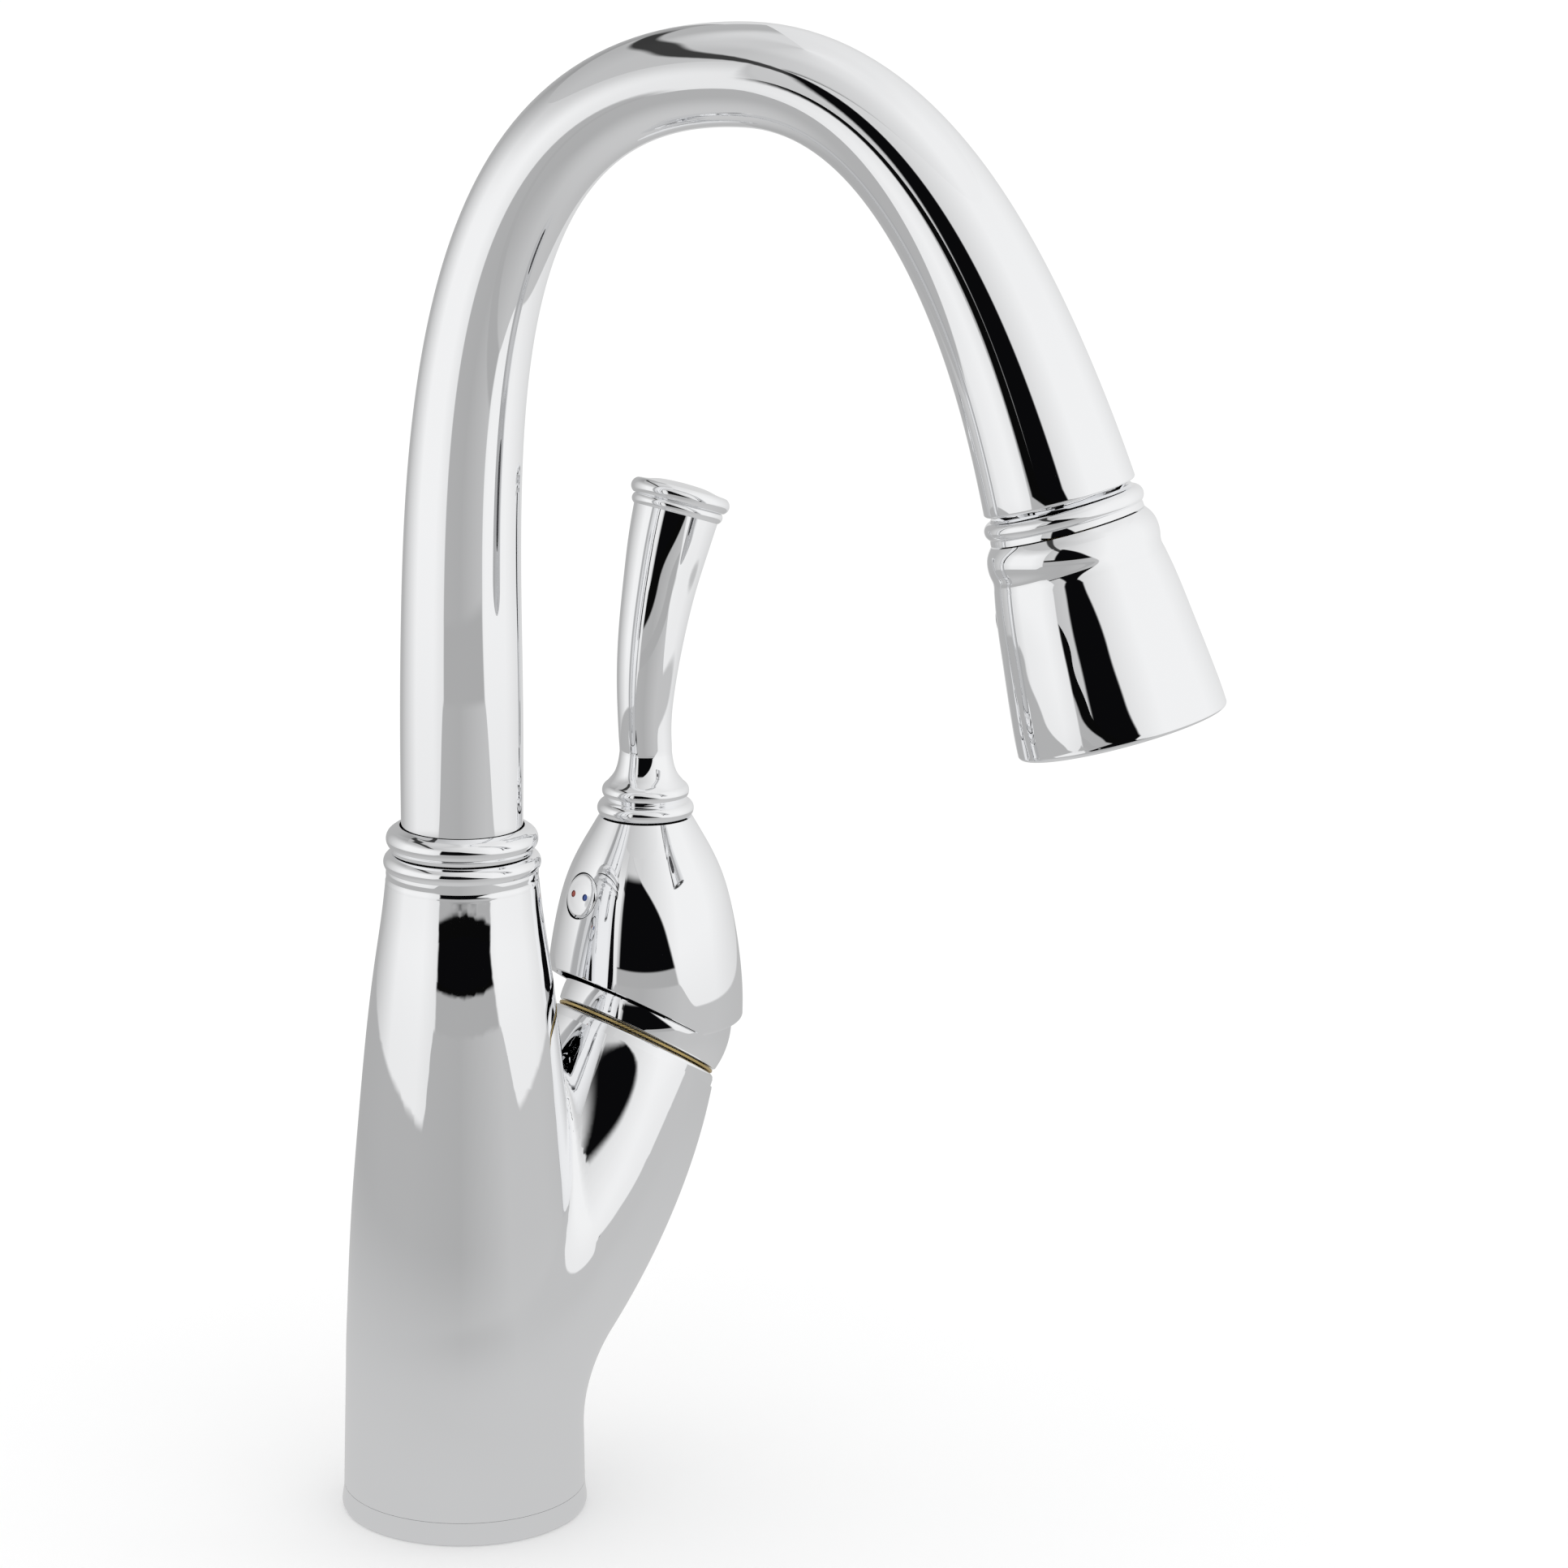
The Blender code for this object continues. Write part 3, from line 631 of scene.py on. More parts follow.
@dataclass(frozen=True)
class Braid(Finish):
    """Nylon braid: two sets of strands that wind opposite ways round the hose."""

    strands: int = 16
    lay: float = 0.35

    def detail(self, sheet: Sheet) -> dict[str | int, object]:
        """Strands, from the hose's own length and angle attributes."""
        along = sheet.node("ShaderNodeAttribute", {"attribute_name": "along"}, output="Fac")
        ring = sheet.node("ShaderNodeAttribute", {"attribute_name": "ring"}, output="Vector")
        side = sheet.node("ShaderNodeSeparateXYZ", inputs={0: ring}, output="X")
        front = sheet.node("ShaderNodeSeparateXYZ", inputs={0: ring}, output="Y")
        angle = sheet.node("ShaderNodeMath", {"operation": "ARCTAN2"}, {0: side, 1: front})
        left = (angle * float(self.strands) + along * self.lay * self.strands).wave()
        right = (angle * float(self.strands) - along * self.lay * self.strands).wave()
        weave = left.size() * right.size()
        return {"Base Color": sheet.blend(weave, self.tint(0.35), self.tint(1.25)),
                "Roughness": 0.75 - weave * 0.25, "Normal": sheet.bump(weave, 0.0003)}


CHROME = Chrome("polished_chrome", "polished_chrome", (0.93, 0.935, 0.945), 1.0, 0.006)
ZINC_SCREEN = Machined("steel_screen", "zinc_steel", (0.50, 0.51, 0.52), 1.0, 0.34)
BRASS = Machined("raw_brass", "raw_brass", (0.62, 0.47, 0.20), 1.0, 0.33)
COPPER = Machined("copper_tube", "copper", (0.72, 0.40, 0.26), 1.0, 0.30, pitch=0.0011)
ZINC = Machined("zinc_steel", "zinc_steel", (0.56, 0.57, 0.58), 1.0, 0.36)
RUBBER = Moulded("black_rubber", "black_rubber", (0.03, 0.03, 0.03), 0.0, 0.70)
NYLON = Braid("nylon_braid", "grey_nylon", (0.30, 0.31, 0.32), 0.0, 0.60)
ACETAL = Moulded("white_acetal", "white_plastic", (0.78, 0.78, 0.76), 0.0, 0.42)
DARK = Moulded("dark_plastic", "dark_plastic", (0.05, 0.05, 0.055), 0.0, 0.38, depth=0.00002)
CERAMIC = Moulded("lapped_ceramic", "ceramic", (0.86, 0.85, 0.82), 0.0, 0.18, depth=0.000003)
RED = Moulded("red_enamel", "red_enamel", (0.36, 0.05, 0.03), 0.0, 0.28, depth=0.000003)
BLUE = Moulded("blue_enamel", "blue_enamel", (0.03, 0.08, 0.33), 0.0, 0.28, depth=0.000003)


# ---- base and deck fixing ---------------------------------------------------------------------
@dataclass
class DeckFixing:
    """Trim ring on the deck, and the shank and nut below it."""

    ring_radius: float = 27.0
    ring_height: float = 5.24
    shank_radius: float = 15.5
    shank_bore: float = 12.0
    shank_top: float = 13.7
    shank_bottom: float = -52.0
    pitch: float = 1.5
    thread_depth: float = 0.7
    nut_top: float = -35.3
    nut_height: float = 10.0
    nut_across: float = 24.5

    def build(self) -> None:
        """Make every piece of it."""
        self.trim_ring()
        self.shank()
        self.nut()

    def trim_ring(self) -> None:
        """Flared ring with a rolled foot."""
        r, h = self.ring_radius, self.ring_height
        flare = flowing([(r - 0.4, h), (r - 0.28, 3.6), (r - 0.02, 1.9), (r - 0.01, 0.9),
                         (r - 0.35, 0.15)], 18)
        inside = [(r - 0.8, 0.0), (24.8, 0.0), (24.8, 1.4), (self.shank_radius + 0.3, 1.4),
                  (self.shank_radius + 0.3, h)]
        Bench.done(Bench.turned("base_trim_ring", flare + inside, 128), CHROME, Body.FIXED, "base_ring")

    def shank(self) -> None:
        """Threaded shank: one ridge for each turn of the thread, with chamfered ends."""
        r, low = self.shank_radius, self.shank_bottom
        outline: list[Point] = [(self.shank_bore, self.shank_top), (r - self.thread_depth, self.shank_top)]
        start = -6.0
        outline.append((r - self.thread_depth, start))
        turns = int((start - low - 1.0) / self.pitch)
        for i in range(turns):
            z = start - i * self.pitch
            outline += [(r - self.thread_depth, z - 0.1), (r - 0.06, z - 0.62), (r - 0.06, z - 0.82),
                        (r - self.thread_depth, z - 1.34)]
        outline += [(r - self.thread_depth, low + 0.7), (r - 1.4, low), (self.shank_bore, low)]
        piece = Bench.turned("threaded_shank", outline, 72)
        Bench.done(piece, BRASS, Body.FIXED, "mounting_shank", crease=25.0)

    def nut(self) -> None:
        """Six-sided nut with chamfered corners and a bore."""
        low = self.nut_top - self.nut_height
        Bench.clear()
        bpy.ops.mesh.primitive_cylinder_add(vertices=6, radius=self.nut_across, depth=self.nut_height,
                                            location=(0, 0, (low + self.nut_top) / 2))
        obj = Bench.start("shank_nut")
        bpy.ops.mesh.select_all(action="SELECT")
        bpy.ops.mesh.bevel(offset=0.7, segments=3)
        Bench.tidy()
        Bench.settle(obj)
        Bench.cut(obj, Bench.rod("nut_bore", self.shank_radius + 0.3, low - 1, self.nut_top + 1, Matrix()))
        Bench.done(obj, BRASS, Body.FIXED, "mounting_nut", crease=25.0)


# ---- body -------------------------------------------------------------------------------------
@dataclass
class Casting:
    """Column and valve branch as one flowing casting, with a rolled ring at the column's head."""

    foot: float = 5.3
    head: float = 141.5
    ring_top: float = 148.9
    face: float = -5.2
    rim_low: float = -7.7
    voxel: float = 0.9
    socket: float = 13.6
    socket_floor: float = 112.0
    column: Spline = Spline([(5.3, 26.6), (24, 26.2), (48, 25.5), (70, 24.35), (91, 22.6), (110.5, 20.7),
                             (125, 18.85), (136, 17.25), (141.5, 16.62)])
    branch: Spline = Spline([(0.0, 19.45), (7.5, 20.35), (23.0, 21.75), (48.5, 23.2), (76.0, 23.6)])

    def build(self) -> None:
        """Make the casting, its head ring and the branch's rim."""
        self.body()
        self.head_ring()
        self.branch_rim()

    def branch_path(self) -> Path:
        """Centre line of the branch, from the pivot down into the column."""
        axis = np.array((sin(radians(VALVE_TILT)), cos(radians(VALVE_TILT))))
        pivot = np.array((PIVOT.x, PIVOT.z))
        knee = pivot - axis * 8.5
        curve = bezier((knee, knee - axis * 5.0, (37.0, 70.0), (4.0, 38.0)), 240)
        return Path(np.vstack([np.linspace(pivot, knee, 40), curve]))

    def skin(self, points: np.ndarray) -> np.ndarray:
        """Signed depth of points outside the casting's skin.

        Args:
            points: Points in mm, one to a row.

        Returns:
            Distance of each from the column and branch blended into each other.
        """
        x, y, z = points.T
        slope = (self.column(z + 0.5) - self.column(z - 0.5))
        column = (np.hypot(x, y) - self.column(z)) / np.sqrt(1 + slope ** 2)
        runs, line, radii = self.guide
        off = (x[:, None] - line[:, 0]) ** 2 + (z[:, None] - line[:, 1]) ** 2
        reach = np.sqrt(off + y[:, None] ** 2) - radii
        best = np.clip(reach.argmin(axis=1), 1, len(runs) - 2)
        rows = np.arange(len(best))
        before, at, after = reach[rows, best - 1], reach[rows, best], reach[rows, best + 1]
        curve = np.maximum(before - 2 * at + after, 1e-6)
        shift = np.clip((before - after) / (2 * curve), -1.0, 1.0)
        branch = at + shift * (after - before) / 2 + shift ** 2 * curve / 2
        share = np.clip((z - 44.0) / 42.0, 0.0, 1.0)
        width = 7.0 - 4.8 * share * share * (3 - 2 * share)
        overlap = np.maximum(width - np.abs(column - branch), 0.0) / width
        return np.minimum(column, branch) - overlap ** 2 * width / 4

    def body(self) -> None:
        """Join the column and the branch, even out the mesh and lay it on the blended skin."""
        path = self.branch_path()
        runs = np.linspace(0.0, path.length, 170)
        face = -self.face
        self.guide = (runs, np.array([path.at(r) for r in runs]), self.branch(runs - face))
        heights = np.linspace(0.0, 147.0, 40)
        outline = [(0.0, 0.0)] + [(float(self.column(z)), z) for z in heights] + [(0.0, 147.0)]
        obj = Bench.turned("body_casting_skin", outline, 96, closed=False)
        stations = [Station(*path.at(r), path.heading(r), float(self.branch(r - face)))
                    for r in runs[4:150:5]]
        arm = Bench.swept("branch_form", stations, 72)
        Bench.pick(arm, obj)
        bpy.ops.object.join()
        Bench.apply(obj, "REMESH", mode="VOXEL", voxel_size=self.voxel, adaptivity=0.0)
        self.settle_on_skin(obj)
        axis = Vector((sin(radians(VALVE_TILT)), 0.0, cos(radians(VALVE_TILT))))
        Bench.bisect(obj, Vector((0.0, 0.0, self.foot)), Vector((0.0, 0.0, -1.0)))
        self.trim_branch(obj, PIVOT + axis * self.rim_low, axis)
        tools = [Bench.rod("seat_bore", 15.8, -27.0, 1.0, valve_frame()),
                 Bench.turned("column_bore", [(0, 150), (self.socket, 150), (self.socket, self.socket_floor),
                                              (11, self.socket_floor), (11, 14), (15.8, 14), (15.8, 4),
                                              (0, 4)],
                              64, closed=False)]
        Bench.cut(obj, *tools)
        Bench.done(obj, CHROME, Body.FIXED, "body_casting")

    def trim_branch(self, obj: bpy.types.Object, point: Vector, axis: Vector) -> None:
        """Cut the branch's end and the column's head flat, each with its own block."""
        for name, place, size in (("branch_trim", looking(point, axis, Vector((0, 1, 0))),
                                   (27.0, 27.0, 20.0)),
                                  ("head_trim", Matrix.Translation((0, 0, self.head)), (24.0, 24.0, 20.0))):
            Bench.clear()
            bpy.ops.mesh.primitive_cylinder_add(vertices=48, radius=size[0], depth=size[2])
            block = bpy.context.object
            block.name = name
            block.matrix_world = place @ Matrix.Translation((0.0, 0.0, size[2] / 2))
            Bench.settle(block)
            Bench.cut(obj, block)

    def settle_on_skin(self, obj: bpy.types.Object) -> None:
        """Move each corner of the mesh straight onto the blended skin."""
        mesh = obj.data
        flat = np.empty(len(mesh.vertices) * 3)
        mesh.vertices.foreach_get("co", flat)
        points = flat.reshape(-1, 3)
        inner = (points[:, 2] > 1.5) & (points[:, 2] < 145.5)
        near = 0.05
        for _ in range(4):
            some = points[inner]
            depth = self.skin(some)
            slope = np.stack([(self.skin(some + near * side) - self.skin(some - near * side)) / (2 * near)
                              for side in np.eye(3)], axis=1)
            points[inner] = some - slope * (depth / np.maximum((slope ** 2).sum(axis=1), 0.2))[:, None]
        mesh.vertices.foreach_set("co", points.ravel())
        mesh.update()

    def head_ring(self) -> None:
        """Rolled ring at the column's head, above the last of its taper."""
        taper = [(float(self.column(z)), z) for z in np.linspace(self.head, 142.2, 3)]
        neck = flowing([(16.55, 142.6), (16.38, 143.4), (16.42, 144.2)], 8)
        bead = arc((14.95, 146.75), 2.0, -46.0, 62.0, 18)
        top = [(15.7, 148.7), (15.2, self.ring_top), (self.socket, self.ring_top), (self.socket, self.head)]
        Bench.done(Bench.turned("column_head_ring", taper + neck + bead + top, 128), CHROME, Body.FIXED)

    def branch_rim(self) -> None:
        """Rounded rim at the open end of the branch."""
        side = [(float(self.branch(self.face - h)), h) for h in np.linspace(self.rim_low, self.face - 0.9, 6)]
        edge = arc((18.55, self.face - 0.9), 0.9, 0.0, 90.0, 8)
        ring = Bench.turned("branch_rim", side + edge + [(15.8, self.face), (15.8, self.rim_low)], 128)
        Bench.put(ring, valve_frame())
        Bench.done(ring, CHROME, Body.FIXED)


# ---- spout ------------------------------------------------------------------------------------
@dataclass
class Spout:
    """Tapered gooseneck with the collar ring at its foot, and the hose that runs through it."""

    start: float = 149.5
    spring: float = 188.0
    apex: Point = (63.0, 317.3)
    wall: float = 1.6
    radii: Spline = Spline([(0.0, 13.05), (0.1, 13.1), (0.17, 12.75), (0.255, 12.15), (0.34, 11.4),
                            (0.43, 10.75), (0.53, 10.45), (0.63, 10.65), (0.71, 11.15), (0.79, 12.1),
                            (0.9, 13.75), (1.0, 15.9)])

    def build(self) -> None:
        """Make every piece of it."""
        self.collar()
        self.tube()
        self.hose()

    def path(self) -> Path:
        """Centre line, as reach and height."""
        tilt = radians(OUTLET_TILT)
        rise = np.linspace((0.0, self.start), (0.0, self.spring), 60)
        bend = bezier((rise[-1], (0.0, self.spring + 59.0), (self.apex[0] - 62.4, self.apex[1]),
                       self.apex), 500)
        drop = bezier((self.apex, (self.apex[0] + 23.7, self.apex[1]),
                       (OUTLET[0] - 65.0 * sin(tilt), OUTLET[1] + 65.0 * cos(tilt)), OUTLET), 400)
        return Path(np.vstack([rise, bend, drop]))

    def tube(self) -> None:
        """Outer skin up and over, a rounded lip, and the bore back down inside."""
        path = self.path()
        whole = path.length
        outer = [(r, float(self.radii(r / whole))) for r in np.linspace(0.0, whole - 0.7, 132)]
        lip = [(whole - 0.7 + 0.7 * sin(a), 15.17 + 0.7 * cos(a)) for a in np.radians(np.linspace(15, 90, 6))]
        bore = [(whole, 14.4)] + [(r, float(self.radii(r / whole)) - self.wall)
                                  for r in np.linspace(whole - 2.0, 0.0, 48)]
        stations = [Station(*path.at(r), path.heading(r), radius) for r, radius in outer + lip + bore]
        tube = Bench.swept("gooseneck_tube", stations, 96, hollow=True)
        Bench.put(tube, spout_plane())
        Bench.done(tube, CHROME, Body.SPOUT, "spout_tube")

    def collar(self) -> None:
        """Rolled ring that the tube rises from, over a narrow groove."""
        top = flowing([(13.45, 154.75), (14.1, 154.5), (14.9, 154.1)], 6)
        bead = arc((14.0, 151.85), 2.35, 62.0, -48.0, 20)
        foot = [(15.45, 149.55), (15.35, 149.2), (13.4, 149.2)]
        Bench.done(Bench.turned("collar_bead", top + bead + foot, 128), CHROME, Body.SPOUT, "collar_ring")

    def hose(self) -> None:
        """Braided hose up the column and round the spout, in a riser on the spout and a drop to the spray head
        that is left unattached.
        """
        path = self.path()
        lead = np.linspace((0.0, -49.5), (0.0, self.start), 120)
        whole = Path(np.vstack([lead, path.points]))
        end = whole.length - 12.6
        split = end - 105.0
        riser = self.hose_run("spray_hose_riser", whole, np.linspace(0.0, split, 84))
        Bench.done(riser, NYLON, Body.SPOUT, "spray_hose")
        drop = self.hose_run("spray_hose_drop", whole, np.linspace(split, end, 64))
        Bench.done(drop, NYLON, None)
        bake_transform(drop)

    def hose_run(self, name: str, path: Path, spots: np.ndarray) -> bpy.types.Object:
        """One run of the braided hose.

        Args:
            name: Its name.
            path: The whole hose's centre line.
            spots: Running lengths of its rings.

        Returns:
            The run, in mm at its place.
        """
        hose = Bench.swept(name, [Station(*path.at(r), path.heading(r), 4.8) for r in spots], 24)
        self.lay_braid(hose, path)
        Bench.put(hose, spout_plane())
        return hose

    @staticmethod
    def lay_braid(hose: bpy.types.Object, path: Path) -> None:
        """Store each corner's running length and its side of the hose, for the braid."""
        mesh = hose.data
        along = mesh.attributes.new("along", "FLOAT", "POINT")
        ring = mesh.attributes.new("ring", "FLOAT_VECTOR", "POINT")
        for i, corner in enumerate(mesh.vertices):
            spot = np.array((corner.co.x, corner.co.z))
            near = int(((path.points - spot) ** 2).sum(axis=1).argmin())
            heading = path.heading(float(path.run[near]))
            off = spot - path.points[near]
            along.data[i].value = float(path.run[near])
            ring.data[i].vector = (corner.co.y, off[0] * cos(heading) - off[1] * sin(heading), 0.0)


# ---- spray head -------------------------------------------------------------------------------
@dataclass
class SprayHead:
    """Docking collar, flared shell, spray face with its nozzles, and the stream button."""

    start: float = -0.7
    length: float = 50.2
    face_low: float = -47.4
    button_drop: float = 27.0
    rings: tuple[tuple[float, int], ...] = ((9.9, 12), (12.0, 16), (14.1, 20))

    def build(self) -> None:
        """Make every piece of it."""
        self.collar()
        self.shell()
        self.face()
        self.nozzles()
        self.aerator()
        self.button()

    def collar(self) -> None:
        """Neck that docks in the spout, and the rolled bead below it."""
        neck = [(9.3, 9.0), (9.3, self.start), (14.7, self.start)]
        bead = arc((14.72, -3.15), 1.98, 78.0, -52.0, 22)
        foot = [(16.05, -5.25), (16.1, -5.9), (6.0, -5.9), (6.0, 9.5), (8.8, 9.5)]
        piece = Bench.turned("wand_bead", neck + bead + foot, 128)
        Bench.put(piece, outlet_frame())
        Bench.done(piece, CHROME, Body.WAND, "wand_collar")

    def shell(self) -> None:
        """Shoulder bead, waist and long flare, with a rolled rim and the button's window."""
        shoulder = flowing([(16.15, -6.2), (16.75, -6.95), (17.55, -8.4), (17.93, -10.5), (17.82, -12.2),
                            (17.62, -13.5), (17.92, -15.2)], 40)
        flare = flowing([(17.92, -15.2), (18.6, -18.8), (19.3, -23.5), (20.05, -29.8), (20.75, -35.6),
                         (21.35, -41.0), (21.85, -46.4), (21.95, -48.2)], 60)[1:]
        rim = arc((21.15, -48.9), 0.85, 30.0, -90.0, 10)[1:] + arc((20.6, -49.3), 0.5, -90.0, -180.0, 5)[1:]
        inner = [(20.0, -44.0), (18.6, -34.0), (17.6, -25.5), (16.0, -14.0), (15.6, -8.2), (8.0, -8.2),
                 (8.0, -6.2)]
        rim = [(r, max(z, -self.length)) for r, z in rim]
        shell = Bench.turned("wand_flare", shoulder + flare + rim + inner, 160)
        Bench.put(shell, outlet_frame())
        window = self.stadium("button_window", 5.1, 4.0, 6.0, 30.0, 0.0)
        Bench.cut(shell, window)
        Bench.done(shell, CHROME, Body.WAND, "wand_shell")

    def button_place(self) -> Matrix:
        """Frame on the stream button's axis, with Z out towards the column."""
        lowered = outlet_frame() @ Matrix.Translation((0, 0, -self.button_drop))
        return lowered @ Matrix.Rotation(pi / 2, 4, "Y")

    def stadium(self, name: str, half: float, straight: float, low: float, high: float,
                bevel: float) -> bpy.types.Object:
        """Round-ended block on the button's axis.

        Args:
            name: Its name.
            half: Half its width.
            straight: Half the distance between its two end arcs' centres.
            low: Its inner height along the axis.
            high: Its outer height.
            bevel: Rounding of its outer edge.

        Returns:
            The block, in mm at its place.
        """
        Bench.clear()
        bpy.ops.mesh.primitive_cylinder_add(vertices=48, radius=half, depth=high - low,
                                            location=(0, 0, (low + high) / 2))
        obj = Bench.start(name)
        shape = bmesh.from_edit_mesh(obj.data)
        for side in (1.0, -1.0):
            bpy.ops.mesh.select_all(action="DESELECT")
            for corner in shape.verts:
                corner.select_set(corner.co.x * side > 0.01)
            shape.select_flush(True)
            bmesh.update_edit_mesh(obj.data)
            bpy.ops.transform.translate(value=(side * straight, 0.0, 0.0))
        if bevel:
            bpy.ops.mesh.select_all(action="DESELECT")
            bpy.ops.mesh.select_mode(type="EDGE")
            for edge in shape.edges:
                edge.select_set(all(v.co.z + (low + high) / 2 > high - 0.01 for v in edge.verts))
            bmesh.update_edit_mesh(obj.data)
            bpy.ops.mesh.bevel(offset=bevel, segments=5)
            bpy.ops.mesh.select_mode(type="VERT")
        Bench.tidy()
        Bench.settle(obj)
        Bench.put(obj, self.button_place())
        return obj

    def button(self) -> None:
        """Stream button with a softly rounded edge."""
        piece = self.stadium("stream_button", 4.7, 4.0, 17.2, 18.8, 0.6)
        Bench.done(piece, DARK, Body.SPRAY_BUTTON, "spray_button")

    def face(self) -> None:
        """Dished spray face with a raised land for the nozzles."""
        low = self.face_low
        outline = [(19.3, -44.5), (19.3, low + 0.7), (18.9, low + 0.2), (18.0, low), (16.6, low),
                   (16.1, low + 0.4),
                   (8.1, low + 0.4), (7.7, low), (6.2, low), (5.6, low + 0.4), (5.6, -44.5)]
        piece = Bench.turned("spray_face_plate", outline, 96)
        Bench.put(piece, outlet_frame())
        Bench.done(piece, DARK, Body.WAND, "spray_face")

    def nozzles(self) -> None:
        """Rubber ring with three rows of small raised nozzles, each with its hole."""
        low = -48.0
        ring = Bench.turned("nozzle_mat", [(15.4, -47.7), (15.4, low - 0.1), (15.1, low - 0.3),
                                           (8.9, low - 0.3),
                                           (8.6, low - 0.1), (8.6, -47.7)], 96)
        tip = Bench.turned("nozzle_tip", [(0.0, low), (0.62, low), (0.5, low - 1.0), (0.42, low - 1.1),
                                          (0.2, low - 1.1), (0.17, low - 0.5), (0.0, low - 0.5)], 14,
                           closed=False)
        tips = []
        for radius, count in self.rings:
            for i in range(count):
                copy = tip.copy()
                copy.data = tip.data.copy()
                bpy.context.collection.objects.link(copy)
                angle = 2 * pi * i / count
                Bench.put(copy, Matrix.Translation((radius * cos(angle), radius * sin(angle), 0.0)))
                tips.append(copy)
        bpy.data.objects.remove(tip, do_unlink=True)
        Bench.pick(*tips, ring)
        bpy.ops.object.join()
        Bench.put(ring, outlet_frame())
        Bench.done(ring, RUBBER, Body.WAND, "nozzle_ring")

    def aerator(self) -> None:
        """Bright ring round a fine screen."""
        ring = Bench.turned("aerator_ring", [(5.2, -40.0), (5.2, -48.0), (4.9, -48.6), (4.3, -48.8),
                                             (3.9, -48.6),
                                             (3.8, -47.9), (2.6, -47.9), (2.6, -40.0)], 72)
        Bench.put(ring, outlet_frame())
        Bench.done(ring, CHROME, Body.WAND, "aerator")
        self.screen()

    def screen(self) -> None:
        """Fine square screen inside the aerator, its bars joined in one piece."""
        bars = []
        for i in range(-3, 4):
            for turned in (False, True):
                half = sqrt(3.7 ** 2 - (i * 1.0) ** 2)
                size = (2 * half, 0.22, 0.22) if turned else (0.22, 2 * half, 0.22)
                at = (0.0, float(i), -47.75) if turned else (float(i), 0.0, -47.7)
                Bench.clear()
                bpy.ops.mesh.primitive_cube_add(size=1.0, location=at)
                bar = bpy.context.object
                bar.scale = size
                Bench.settle(bar)
                Bench.apply(bar, "BEVEL", width=0.05, segments=1)
                bars.append(bar)
        bars[-1].name = bars[-1].data.name = "aerator_screen"
        Bench.pick(*bars)
        bpy.ops.object.join()
        Bench.put(bars[-1], outlet_frame())
        Bench.done(bars[-1], ZINC_SCREEN, Body.WAND)


# ---- valve and handle -------------------------------------------------------------------------
@dataclass
class Valve:
    """Ball-shaped bonnet and the brass ring that shows below it."""

    ball: float = 19.4
    low: float = -3.9
    high: float = 12.0

    def build(self) -> None:
        """Make both pieces."""
        zone = [(sqrt(self.ball ** 2 - h * h), h) for h in np.linspace(self.low + 0.25, self.high, 40)]
        inner = [(12.6, self.high), (12.6, 10.4)] + [(sqrt(17.2 ** 2 - h * h), h)
                                                     for h in np.linspace(10.4, self.low, 12)]
        bonnet = Bench.turned("valve_bonnet", zone + inner + [(18.75, self.low)], 144)
        Bench.put(bonnet, valve_frame())
        Bench.done(bonnet, CHROME, Body.FIXED, "bonnet")
        ring = Bench.turned("brass_glide", [(18.7, -4.3), (18.7, -4.8), (18.5, -4.9), (16.4, -4.9),
                                            (16.4, -4.2),
                                            (18.5, -4.2)], 128)
        Bench.put(ring, valve_frame())
        Bench.done(ring, BRASS, Body.FIXED, "glide_ring")


